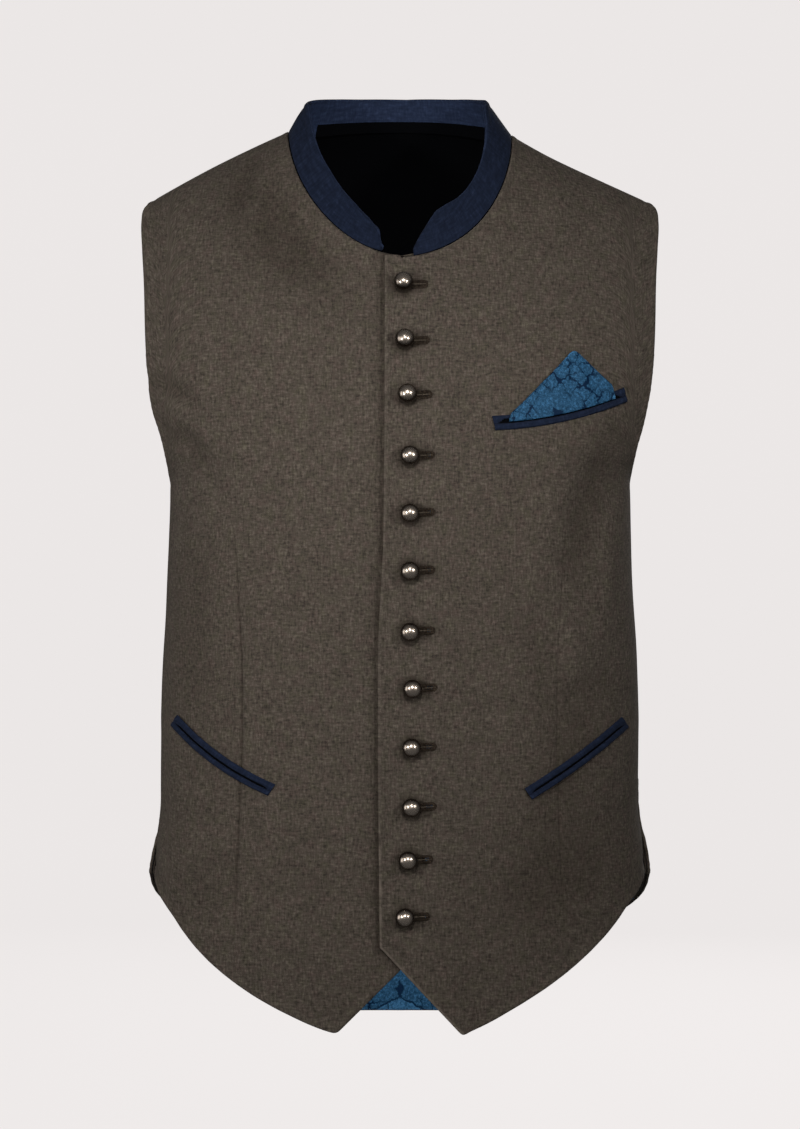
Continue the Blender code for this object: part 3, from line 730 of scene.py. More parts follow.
def front_grid(front):
    """Places of a front's vertices. Fine columns follow its edges, its point and its dart."""
    outline = front_outline(front)
    armpit, neck = SIDE_ROWS / FRONT_ROWS, 1 - NECK_ROWS / FRONT_ROWS
    v = rows_with_edges(stops((0.0, armpit, 104), (armpit, neck, 42), (neck, 1.0, 48)))
    probe = np.linspace(0.0, 1.0, 300)
    tip = DIAGONAL_COLUMNS / FRONT_COLUMNS
    dart = Profile([(z, x) for x, z in FRONT_DART])
    low = EDGE_CELLS * SIDE_STRIP
    rows = []
    for share in v:
        line = FRONT.points(patch(*outline, probe, np.full_like(probe, share)))
        miss = np.abs(line[:, 0]) - dart(line[:, 2])
        crossing = np.nonzero((probe[:-1] > tip) & (miss[:-1] < 0) & (miss[1:] >= 0))[0]
        if len(crossing) and line[crossing[0], 2] < FRONT_DART[0][1] + 6.0:
            k = crossing[0]
            last = probe[k] + (probe[k + 1] - probe[k]) * -miss[k] / (miss[k + 1] - miss[k])
        rows.append(np.concatenate([
            low,
            np.linspace(low[-1], tip - TIP_STRIP, 18)[1:],
            tip + TIP_STRIP * TIP_CELLS,
            np.linspace(tip + TIP_STRIP, last - DART_STRIP, 22)[1:],
            last + DART_STRIP * DART_CELLS,
            np.linspace(last + DART_STRIP, 1 - low[-1], 27)[1:],
            1 - low[::-1][1:],
        ]))
    u = np.array(rows)
    return patch(*outline, u, np.repeat(v[:, None], u.shape[1], axis=1))


def back_outline():
    """The four sides of the back, from the wearer's right to the left."""
    sides = []
    for sign in (-1, 1):
        sides.append(side_edge(BACK, sign, BACK_HEM[-1][1], BACK_ARMHOLE_INSET))
    x = np.linspace(ROUNDED_TIP, NECK_HALF, BACK_SHOULDER_COLUMNS * FINE + 1)
    left = BACK.places(x, shoulder(x))
    left[:, 1] = QUARTER
    neck = back_neck(BACK_NECK_COLUMNS * FINE)
    neck = BACK.places(neck[:, 0], neck[:, 1])
    right = left[:-1] * np.array([-1.0, 1.0])
    top = np.concatenate([right, [[-left[-1, 0], QUARTER]], neck[1:-1], left[::-1]])
    top[0], top[-1] = sides[0][-1], sides[1][-1]
    x = BACK_HEM[-1][0] * np.sin(np.linspace(-1.0, 1.0, len(top)) * QUARTER)
    bottom = BACK.places(x, BACK_HEM_LINE(np.abs(x)))
    bottom[0], bottom[-1] = sides[0][0], sides[1][0]
    return bottom, top, sides[0], sides[1]


def back_grid(rows, columns):
    """Places of the back's vertices, finer at its edges and down its middle."""
    v = rows_with_edges(np.linspace(0.0, 1.0, rows))
    half = np.linspace(TOP_STRIP, 0.5 - MIDDLE_STRIP, columns // 2)
    middle = 0.5 + MIDDLE_STRIP * MIDDLE_CELLS
    edge = EDGE_CELLS * TOP_STRIP
    u = np.concatenate([edge[:-1], half, middle, 1 - half[::-1], 1 - edge[::-1][1:]])
    return patch(*back_outline(), *np.meshgrid(u, v))


def seam_groove(away, depth, half_width):
    """A narrow valley where two pieces of cloth are sewn together."""
    return -depth * bell(away, half_width)


def edge_distance(points, line):
    """Distance from every point to the nearest of a line's points."""
    flat = points.reshape(-1, 3)
    best = np.full(len(flat), np.inf)
    for start in range(0, len(line), 64):
        gaps = np.linalg.norm(flat[:, None] - line[None, start:start + 64], axis=2)
        best = np.minimum(best, gaps.min(axis=1))
    return best.reshape(points.shape[:-1])


def turned_edge(away):
    """An ironed edge: plump beside the fold, with a faint line where the stitches hold it."""
    plump, plump_half, plump_at = EDGE_PLUMP
    held, held_half, held_at = EDGE_HELD
    return plump * bell(away - plump_at, plump_half) - held * bell(away - held_at, held_half)


def around(rows, columns):
    """Rows and columns of a grid's border, once round."""
    loop = [(0, i) for i in range(columns)]
    loop += [(j, columns - 1) for j in range(1, rows)]
    loop += [(rows - 1, i) for i in range(columns - 2, -1, -1)]
    loop += [(j, 0) for j in range(rows - 2, 0, -1)]
    return np.array(loop)


def cloth(
    name, outer, normals, thickness, uv, materials, slots_in=0, slots_out=0, rim_slot=0, pressed=None,
):
    """A closed cloth wall under a grid of points, with its edges rounded. Each face of its two
    sides, and each stretch of its rim, may be given the slot of its material."""
    rows, columns = outer.shape[:2]
    outer = outer.copy()
    thickness = np.broadcast_to(thickness, (rows, columns))[..., None]
    inner = outer - normals * thickness
    loop = around(rows, columns)
    j, i = loop[:, 0], loop[:, 1]
    edge, normal = outer[j, i], normals[j, i]
    tangent = unit(np.roll(edge, -1, axis=0) - np.roll(edge, 1, axis=0))
    into = outer[np.clip(j, 1, rows - 2), np.clip(i, 1, columns - 2)] - edge
    away = unit(np.cross(tangent, normal))
    away *= -np.sign((away * into).sum(axis=1, keepdims=True))
    radius = thickness[j, i] / 2
    centre = edge - normal * radius - away * radius
    angles = np.linspace(QUARTER, -QUARTER, 6)
    outer[j, i] = centre + normal * radius
    inner[j, i] = centre - normal * radius
    rings = [centre + radius * (normal * math.sin(a) + away * math.cos(a)) for a in angles[1:-1]]

    points = np.concatenate([outer.reshape(-1, 3), inner.reshape(-1, 3)] + rings) * MM
    count = rows * columns
    a = (np.arange(rows - 1)[:, None] * columns + np.arange(columns - 1)).ravel()
    quads = np.stack([a, a + 1, a + columns + 1, a + columns], axis=1)
    j0, i0 = rows // 2, columns // 2
    across, up = outer[j0, i0 + 1] - outer[j0, i0], outer[j0 + 1, i0] - outer[j0, i0]
    rising = (np.cross(across, up) * normals[j0, i0]).sum() > 0
    outside = quads if rising else quads[:, ::-1]
    inside = quads[:, ::-1] + count if rising else quads + count
    chain = [j * columns + i]
    chain += [2 * count + k * len(loop) + np.arange(len(loop)) for k in range(len(rings))]
    chain.append(count + j * columns + i)
    rim = []
    for first, second in zip(chain, chain[1:]):
        strip = np.stack([first, second, np.roll(second, -1), np.roll(first, -1)], axis=1)
        rim.append(strip if rising else strip[:, ::-1])
    faces = np.concatenate([outside, inside] + rim)
    slots = np.zeros(len(faces), int)
    slots[2 * len(quads):] = np.tile(np.broadcast_to(rim_slot, len(loop)), len(rings) + 1)
    slots[:len(quads)] = np.ravel(slots_out)
    slots[len(quads):2 * len(quads)] = np.ravel(slots_in)
    flat_uv = uv.reshape(-1, 2)
    uvs = np.concatenate([flat_uv, flat_uv] + [uv[j, i]] * len(rings)) * MM
    if pressed is not None:
        flat_painted_light = pressed.ravel()
        pressed = np.concatenate([flat_painted_light, flat_painted_light] + [pressed[j, i]] * len(rings))
    return mesh_piece(name, points, faces, uvs, materials, slots, pressed)


def mesh_piece(name, points, faces, uvs, materials, slots, pressed):
    """A smooth object from points in metres and four-cornered faces. The map of painted light goes up to
    1 where shade is painted dark, and below 0 where a highlight is painted pale."""
    mesh = bpy.data.meshes.new(name)
    mesh.from_pydata(points.tolist(), [], faces.tolist())
    layer = mesh.uv_layers.new(name="weave")
    layer.data.foreach_set("uv", uvs[faces.ravel()].ravel())
    if pressed is not None:
        layer = mesh.uv_layers.new(name="pressed")
        pressed = pressed[faces.ravel()]
        layer.data.foreach_set("uv", np.stack([pressed, pressed], axis=1).ravel())
    for material in materials:
        mesh.materials.append(material)
    mesh.polygons.foreach_set("material_index", slots)
    mesh.shade_smooth()
    mesh.update()
    made = bpy.data.objects.new(name + "_cloth", mesh)
    bpy.context.scene.collection.objects.link(made)
    return made


def dress(piece, node):
    """Puts a piece in the place of its CAD node."""
    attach(piece, "root")
    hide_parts(node)
    return piece


def pocket_line(pocket, below, count=60):
    """Points along a pocket's opening, moved this far below it and square to it."""
    start, end, sag = np.array(pocket[0]), np.array(pocket[1]), pocket[2]
    along = (end - start) / np.linalg.norm(end - start)
    down = np.array([along[1], -along[0]])
    if down[1] > 0:
        down = -down
    share = np.linspace(0.0, 1.0, count + 1)[:, None]
    return start * (1 - share) + end * share + down * (sag * 4 * share * (1 - share) + below)


# ---------------------------------------------------------------------------- finishes


class Finish:
    """A material being made, with short ways to add its nodes."""

    def __init__(self, name):
        self.material = bpy.data.materials.new(name)
        self.material.use_nodes = True
        self.tree = self.material.node_tree
        self.shader = self.tree.nodes["Principled BSDF"]

    def add(self, kind, inputs=(), **settings):
        node = self.tree.nodes.new("ShaderNode" + kind)
        for key, value in settings.items():
            setattr(node, key, value)
        for key, value in dict(inputs).items():
            self.feed(node.inputs[key], value)
        return node

    def feed(self, socket, value):
        if isinstance(value, bpy.types.NodeSocket):
            self.tree.links.new(value, socket)
        else:
            socket.default_value = value

    def math(self, operation, first, second=0.0, third=0.0):
        node = self.add("Math", {0: first, 1: second, 2: third}, operation=operation)
        return node.outputs[0]

    def total(self, *parts):
        """Sum of values, each times its share."""
        total = self.math("MULTIPLY", *parts[0])
        for value, share in parts[1:]:
            total = self.math("MULTIPLY_ADD", value, share, total)
        return total

    def remap(self, value, start, end, low=0.0, high=1.0, **settings):
        return self.add("MapRange", {0: value, 1: start, 2: end, 3: low, 4: high}, **settings).outputs[0]

    def split(self, vector):
        return self.add("SeparateXYZ", {0: vector}).outputs

    def layer(self, name):
        """Values of one of the piece's own maps."""
        return self.split(self.add("UVMap", uv_map=name).outputs[0])[0]

    def place(self, scale):
        """The cloth's own coordinates in millimetres, scaled across and along."""
        uv = self.add("UVMap", uv_map="weave").outputs[0]
        inputs = {"Vector": uv, "Scale": (1000 * scale[0], 1000 * scale[1], 1)}
        return self.add("Mapping", inputs).outputs[0]

    def noise(self, scale, detail=2.0, roughness=0.5):
        """Noise on the cloth, scaled across and along."""
        inputs = {"Vector": self.place(scale), "Scale": 1.0, "Detail": detail, "Roughness": roughness}
        return self.add("TexNoise", inputs).outputs[0]

    def grain(self, scale, detail=2.0, roughness=0.5):
        """Noise through a small hard piece, in metres."""
        place = self.add("TexCoord").outputs["Object"]
        inputs = {"Vector": place, "Scale": scale, "Detail": detail, "Roughness": roughness}
        return self.add("TexNoise", inputs).outputs[0]

    def weave(self, pitch_across, pitch_along):
        """Height of a plain weave: threads over and under each other."""
        parts = self.split(self.place((math.tau / pitch_across, math.tau / pitch_along)))
        over_under = self.math("MULTIPLY", self.math("SINE", parts[0]), self.math("SINE", parts[1]))
        return self.math("MULTIPLY_ADD", over_under, 0.5, 0.5)

    def ramp(self, value, *stops_):
        node = self.add("ValToRGB", {"Fac": value})
        elements = node.color_ramp.elements
        while len(elements) < len(stops_):
            elements.new(0.5)
        for element, (at, colour) in zip(elements, stops_):
            element.position = at
            element.color = (*colour, 1.0)
        return node.outputs[0]

    def mix(self, share, first, second, blend="MIX"):
        node = self.add("Mix", {0: share, 6: first}, data_type="RGBA", blend_type=blend)
        self.feed(node.inputs[7], second if isinstance(second, bpy.types.NodeSocket) else (*second, 1.0))
        return node.outputs[2]

    def bump(self, height, strength, distance):
        inputs = {"Height": height, "Strength": strength, "Distance": distance * MM}
        return self.add("Bump", inputs).outputs[0]

    def shine(self, **values):
        for key, value in values.items():
            self.feed(self.shader.inputs[key.replace("_", " ")], value)


def shade(colour, by, lift=0.0):
    """A colour times a number, and raised a little towards grey."""
    return tuple(min(channel * by + lift, 1.0) for channel in colour)


def toned(colour, shares):
    """A colour with each channel taken down to its own share."""
    return tuple(channel * share for channel, share in zip(colour, shares))


def wool_finish(name, settings):
    """Melange wool: brown and grey threads with slubs both ways, and a dry nap. Where its map of painted
    light is above 0 it is painted dark as shade, and where it is below 0 it is painted pale as a
    highlight."""
    finish = Finish(name)
    upright = finish.noise((0.70, 0.16), 3.0, 0.60)
    lying = finish.noise((0.18, 0.64), 3.0, 0.60)
    fleck = finish.noise((0.44, 0.44), 4.0, 0.74)
    cloud = finish.noise((0.06, 0.06))
    tone = finish.total((upright, 0.42), (lying, 0.40), (fleck, 0.40), (cloud, 0.10))
    base = tuple(settings.wool_colour)
    colour = finish.ramp(
        tone,
        (0.54, shade(base, 0.50)),
        (0.62, shade(base, 0.85)),
        (0.69, shade(base, 1.11)),
        (0.78, shade(base, 1.62, 0.006)),
    )
    dye = finish.noise((0.12, 0.10), 5.0, 0.74)
    warmth = finish.ramp(
        dye, (0.36, (1.05, 0.965, 1.0)), (0.50, (1.0, 1.0, 1.0)), (0.64, (0.97, 1.02, 0.93))
    )
    colour = finish.mix(1.0, colour, warmth, "MULTIPLY")
    # Painted shade where the map is above 0, and a painted highlight where it is below 0
    pressed = finish.layer("pressed")
    colour = finish.mix(pressed, colour, toned(base, (0.19, 0.155, 0.12)))
    colour = finish.mix(finish.math("MULTIPLY", pressed, -1.0), colour, shade(base, 2.9, 0.02))
    threads = finish.weave(settings.wool_pitch, settings.wool_pitch)
    height = finish.math("MULTIPLY_ADD", threads, 0.18, tone)
    finish.shine(Base_Color=colour, Roughness=0.95, Normal=finish.bump(height, 0.6, 0.7))
    finish.shine(Specular_IOR_Level=0.12, Sheen_Weight=0.06, Sheen_Roughness=0.6)
    finish.shine(Sheen_Tint=(0.75, 0.66, 0.58, 1.0))
    return finish.material


def linen_finish(name, settings, lift):
    """Navy linen with paler slubs along and across."""
    finish = Finish(name)
    upright = finish.noise((0.55, 0.12), 2.0, 0.6)
    lying = finish.noise((0.10, 0.55), 2.0, 0.6)
    fleck = finish.noise((0.34, 0.34), 4.0, 0.66)
    tone = finish.total((upright, 0.32), (lying, 0.40), (fleck, 0.34))
    base = shade(tuple(settings.linen_colour), lift)
    colour = finish.ramp(
        tone,
        (0.42, shade(base, 0.74)),
        (0.53, shade(base, 0.98)),
        (0.61, shade(base, 1.28)),
        (0.70, shade(base, 1.7, 0.003)),
    )
    height = finish.math("MULTIPLY_ADD", finish.weave(0.8, 0.8), 0.25, tone)
    finish.shine(Base_Color=colour, Roughness=0.9, Normal=finish.bump(height, 0.5, 0.35))
    finish.shine(Specular_IOR_Level=0.08, Sheen_Weight=0.02, Sheen_Roughness=0.5)
    return finish.material


def damask(finish):
    """How light the satin's pattern is: leaves with dark joints, and lozenges on arches."""
    place = finish.place((1.0, 1.0))
    inputs = {"Vector": place, "Scale": 0.16, "Detail": 3.0}
    wander = finish.add("TexNoise", inputs, noise_dimensions="2D").outputs["Color"]

    def swayed(by):
        """The cloth's coordinates, moved about by up to this many millimetres."""
        inputs = {0: wander, 1: (by, by, 0.0), 2: place}
        return finish.add("VectorMath", inputs, operation="MULTIPLY_ADD").outputs[0]

    bent = swayed(8.0)

    def leaves(feature):
        inputs = {"Vector": bent, "Scale": 0.108, "Randomness": 0.85}
        return finish.add("TexVoronoi", inputs, feature=feature, voronoi_dimensions="2D").outputs[0]

    edges, middles = leaves("DISTANCE_TO_EDGE"), leaves("F1")
    gather = finish.noise((0.17, 0.17), 2.0, 0.6)
    ragged = finish.noise((0.8, 0.8), 2.0, 0.6)
    joint = finish.remap(middles, 0.50, 0.76, 0.0, -0.12)
    reach = finish.math("MULTIPLY_ADD", gather, -0.24, 0.103)
    reach = finish.math("ADD", finish.math("MULTIPLY_ADD", ragged, 0.09, reach), joint)
    vein = finish.math("ADD", edges, reach)
    vein = finish.remap(vein, 0.015, 0.095, interpolation_type="SMOOTHSTEP")

    parts = finish.split(swayed(4.5))
    half = LOZENGE_REPEAT / 2
    aside = finish.math("PINGPONG", finish.math("ADD", parts[0], -2.2), half)
    above = finish.math("WRAP", finish.math("ADD", parts[1], LOZENGE_HEIGHT - 2.2), half, -half)
    height = finish.math("ABSOLUTE", above)
    near = finish.remap(finish.math("ADD", aside, height), 20.0, 28.0, 0.95, 0.0)
    vein = finish.math("MAXIMUM", vein, near)
    lozenge = finish.math("ADD", aside, finish.math("MULTIPLY", height, 0.62))
    lozenge = finish.math("ADD", lozenge, -4.1)
    arch = finish.math("MULTIPLY_ADD", aside, 0.58, finish.math("ADD", above, 5.0))
    line = finish.math("ADD", finish.math("ABSOLUTE", arch), -0.55)
    mark = finish.math("MULTIPLY_ADD", ragged, 2.2, finish.math("MINIMUM", lozenge, line))
    mark = finish.remap(mark, 0.90, 1.75, 0.13, 1.0)

    mottle = finish.noise((0.55, 0.45), 5.0, 0.85)
    inside = finish.remap(arch, -1.0, 1.0, -0.36, -0.56)
    body = finish.math("MULTIPLY_ADD", mottle, 2.2, finish.math("MULTIPLY_ADD", middles, -0.10, inside))
    return finish.math("MULTIPLY", finish.math("MULTIPLY", vein, mark), body)


def jacquard_finish(name, settings, lift):
    """Two-tone satin with a common damask."""
    finish = Finish(name)
    light = damask(finish)
    base = shade(tuple(settings.satin_colour), lift)
    colour = finish.ramp(
        light,
        (0.05, toned(base, (0.11, 0.17, 0.25))),
        (0.30, shade(base, 0.55)),
        (0.56, base),
        (0.80, shade(base, 2.0, 0.014)),
    )
    height = finish.math("MULTIPLY_ADD", finish.weave(0.5, 0.35), 0.15, light)
    finish.shine(Base_Color=colour, Roughness=0.58, Normal=finish.bump(height, 0.5, 0.22))
    finish.shine(Specular_IOR_Level=0.08, Anisotropic=0.3)
    return finish.material


def painted_shade_cloth_finish(name):
    """Near-black twill as painted shade: it faces the inside of the yoke, and lies at the foot of the
    collar's facing and in the pockets' mouths.
    """
    finish = Finish(name)
    grain = finish.noise((0.9, 0.9), 3.0, 0.6)
    colour = finish.ramp(grain, (0.3, (0.0012, 0.0013, 0.0018)), (0.7, (0.0028, 0.0030, 0.0040)))
    bump = finish.bump(finish.weave(0.9, 0.9), 0.3, 0.2)
    finish.shine(Base_Color=colour, Roughness=0.95, Normal=bump)
    finish.shine(Specular_IOR_Level=0.05)
    return finish.material


def thread_finish(name, dark, middle, pale):
    """Silk twist."""
    finish = Finish(name)
    grain = finish.grain(900.0)
    colour = finish.ramp(grain, (0.3, dark), (0.55, middle), (0.75, pale))
    finish.shine(Base_Color=colour, Roughness=0.75, Normal=finish.bump(grain, 0.4, 0.1))
    finish.shine(Specular_IOR_Level=0.15, Sheen_Weight=0.03)
    return finish.material


def metal_finish(name, settings):
    """Aged white metal with painted light: pale towards the crown as a painted highlight, and dark brown
    round the sides as painted shade.
    """
    finish = Finish(name)
    pits = finish.grain(1300.0, 3.0, 0.6)
    bloom = finish.grain(320.0, 3.0)
    base = tuple(settings.metal_colour)
    # Painted light by height on the ball: pale towards the crown, dark brown round the sides
    ball_painted_light = finish.math("ADD", finish.layer("crown"), -0.09)
    ball_painted_light = finish.math("MULTIPLY_ADD", bloom, 0.18, ball_painted_light)
    colour = finish.ramp(
        ball_painted_light,
        (0.44, toned(base, (0.06, 0.045, 0.035))),
        (0.60, shade(base, 0.28)),
        (0.76, shade(base, 0.75)),
        (0.92, base),
    )
    rough = finish.math("MULTIPLY_ADD", pits, 0.12, 0.20)
    finish.shine(Base_Color=colour, Roughness=rough, Normal=finish.bump(pits, 0.07, 0.06))
    finish.shine(Metallic=1.0, Coat_Weight=0.35, Coat_Roughness=0.12, Coat_IOR=1.5)
    return finish.material


# ---------------------------------------------------------------------------- settings


def colour_setting(name, description, default):
    return FloatVectorProperty(
        name=name, description=description, subtype="COLOR", default=default, min=0.0, max=1.0
    )


def length_setting(name, description, default, low, high):
    return FloatProperty(
        name=name, description=description, default=default, min=low, max=high, unit="LENGTH"
    )


def power_setting(name, description, default):
    return FloatProperty(name=name, description=description, default=default, min=0.0)


class ClothSettings(bpy.types.PropertyGroup):
    wool_colour: colour_setting(
        "Wool", "Middle colour of the melange wool", (0.094, 0.0765, 0.0605)
    )
    wool_pitch: FloatProperty(
        name="Wool thread pitch", description="Distance between the wool's threads, in millimetres",
        default=1.5, min=0.5, max=4.0,
    )
    linen_colour: colour_setting(
        "Linen", "Colour of the collar, the jets and the welt", (0.0125, 0.0185, 0.0385)
    )
    satin_colour: colour_setting(
        "Lining", "Ground colour of the jacquard lining", (0.021, 0.077, 0.152)
    )
    slack: FloatProperty(
        name="Slackness", description="Strength of the soft unevenness of the panels",
        default=1.0, min=0.0, max=3.0,
    )


class PocketSettings(bpy.types.PropertyGroup):
    jet_width: length_setting(
        "Jet width", "Width of each lip of the lower pockets", 4.6 * MM, 0.001, 0.02
    )
    welt_width: length_setting(
        "Welt width", "Width of the breast pocket's welt", 4.8 * MM, 0.001, 0.03
    )
    breast_jet_width: length_setting(
        "Breast jet width", "Width of the lip above the breast pocket", 5.2 * MM, 0.001, 0.02
    )


class ButtonSettings(bpy.types.PropertyGroup):
    ball_radius: length_setting(
        "Ball radius", "Radius of a ball button, seen from ahead", 6.9 * MM, 0.002, 0.02
    )
    ball_depth: length_setting(
        "Ball depth", "Half the thickness of a ball button", 6.2 * MM, 0.002, 0.02
    )
    stitches: IntProperty(
        name="Stitches", description="Stitches round one buttonhole", default=58, min=20, max=120
    )
    metal_colour: colour_setting("Metal", "Colour of the aged metal", (0.70, 0.58, 0.475))


class StudioSettings(bpy.types.PropertyGroup):
    paper_colour: colour_setting("Paper", "Colour of the floor and the backdrop", (0.84, 0.807, 0.80))
    floor_height: length_setting(
        "Floor height", "Height of the floor below the shoulders", -0.80, -3.0, -0.70
    )
    key: power_setting("Key light", "Power of the light on the left", 1.42)
    side: power_setting("Side light", "Power of the soft light far left", 1.5)
    fill: power_setting("Fill light", "Power of the light on the right", 0.72)
    middle: power_setting("Middle light", "Power of the light by the camera", 1.35)
    behind: power_setting("Light behind", "Power of the light behind", 19.0)
    inside: power_setting("Light inside", "Power of the light inside", 0.075)
    distance: length_setting(
        "Camera distance", "How far the camera stands in front of the shoulders", 3.0, 1.0, 10.0
    )


# ---------------------------------------------------------------------------- pieces

# Painted light: each use of a cloth is a copy painted this much paler than its setting, for how much
# light falls on it. The collar's top edge is a painted highlight, and its facing and the back's lining
# are painted paler though they lie in shade
LINEN_LIFTS = {"cloth": 1.0, "edge": 1.7, "facing": 2.0, "lips": 1.12}
SATIN_LIFTS = {"satin": 1.4, "lining": 1.8}
# Silk threads: dark, middle and pale colour
THREADS = {
    "brown_silk_twist": ((0.017, 0.0112, 0.0070), (0.037, 0.0255, 0.0165), (0.070, 0.051, 0.036)),
    "tan_silk_gimp": ((0.060, 0.045, 0.032), (0.12, 0.094, 0.068), (0.20, 0.16, 0.12)),
}


def finish_named(name, make, *facts):
    """A finish that several pieces share, made once."""
    return bpy.data.materials.get(name) or make(name, *facts)


def wool(context):
    return finish_named("brown_melange_wool", wool_finish, context.scene.waistcoat_cloth)


def linen(context, use):
    settings = context.scene.waistcoat_cloth
    return finish_named("navy_linen_" + use, linen_finish, settings, LINEN_LIFTS[use])


def satin(context, use):
    settings = context.scene.waistcoat_cloth
    return finish_named("teal_jacquard_" + use, jacquard_finish, settings, SATIN_LIFTS[use])


def painted_shade_cloth():
    return finish_named("black_neck_facing", painted_shade_cloth_finish)


def start_model(primitive, **sizes):
    """A new primitive in edit mode, selected all over, with everything else deselected."""
    bpy.ops.object.select_all(action="DESELECT")
    getattr(bpy.ops.mesh, f"primitive_{primitive}_add")(**sizes)
    bpy.ops.object.transform_apply(location=True, rotation=True, scale=False)
    bpy.ops.object.mode_set(mode="EDIT")
    bpy.ops.mesh.select_all(action="SELECT")
    return bpy.context.object


def select_where(piece, keep):
    """In edit mode, selects the vertices that a test keeps, and the faces between them."""
    bpy.ops.mesh.select_mode(type="VERT")
    bpy.ops.mesh.select_all(action="DESELECT")
    build = bmesh.from_edit_mesh(piece.data)
    for vert in build.verts:
        vert.select = bool(keep(vert.co))
    build.select_flush(True)
    bmesh.update_edit_mesh(piece.data)


def take_shape(piece):
    """A finished model's points and faces; its object is taken away."""
    bpy.ops.object.mode_set(mode="OBJECT")
    points = np.array([vert.co for vert in piece.data.vertices])
    faces = [tuple(face.vertices) for face in piece.data.polygons]
    mesh = piece.data
    bpy.data.objects.remove(piece)
    bpy.data.meshes.remove(mesh)
    return points, faces


def joined(shapes):
    """The points and the faces of several shapes as those of one."""
    points, faces, total = [], [], 0
    for shape, shape_faces in shapes:
        points.append(shape)
        faces += [tuple(k + total for k in face) for face in shape_faces]
        total += len(shape)
    return np.concatenate(points), faces


def placed(name, points, faces, materials, node, slots=None):
    """A copy with its own mesh, in its place, of something that repeats."""
    mesh = bpy.data.meshes.new(name)
    mesh.from_pydata((points * MM).tolist(), [], faces)
    for material in materials:
        mesh.materials.append(material)
    if slots is not None:
        mesh.polygons.foreach_set("material_index", slots)
    mesh.shade_smooth()
    piece = bpy.data.objects.new(name, mesh)
    bpy.context.scene.collection.objects.link(piece)
    return dress(piece, node)


def buttonhole_place(x, z, along, across):
    """Place on the over-front as seen from ahead, in a buttonhole's own directions."""
    cos, sin = math.cos(HOLE_TILT), math.sin(HOLE_TILT)
    return x + along * cos - across * sin, z + along * sin + across * cos


def on_over_front(x, z, out):
    """Points this far out from the over-front."""
    points, normals = surface(FRONT, x, z, True)
    return points + normals * np.asarray(out)[..., None]


def pocket_sinks(front, x, z):
    """The cloth dips into each pocket's mouth, and swells a little beside it."""
    height = np.zeros(x.shape)
    for pocket in front.pockets:
        away = distance_to_line(x * front.sign, z, pocket_line(pocket, 0.0, 12))[0]
        height -= 0.5 * bell(away, 9.0)
        height += 0.35 * bell(away - 9.0, 5.0)
    return height


def painted_crease_shade(creases):
    """Painted shade in the creases, darker the deeper they are."""
    return 0.30 * np.clip(-creases / 3.0, 0.0, 1.2)


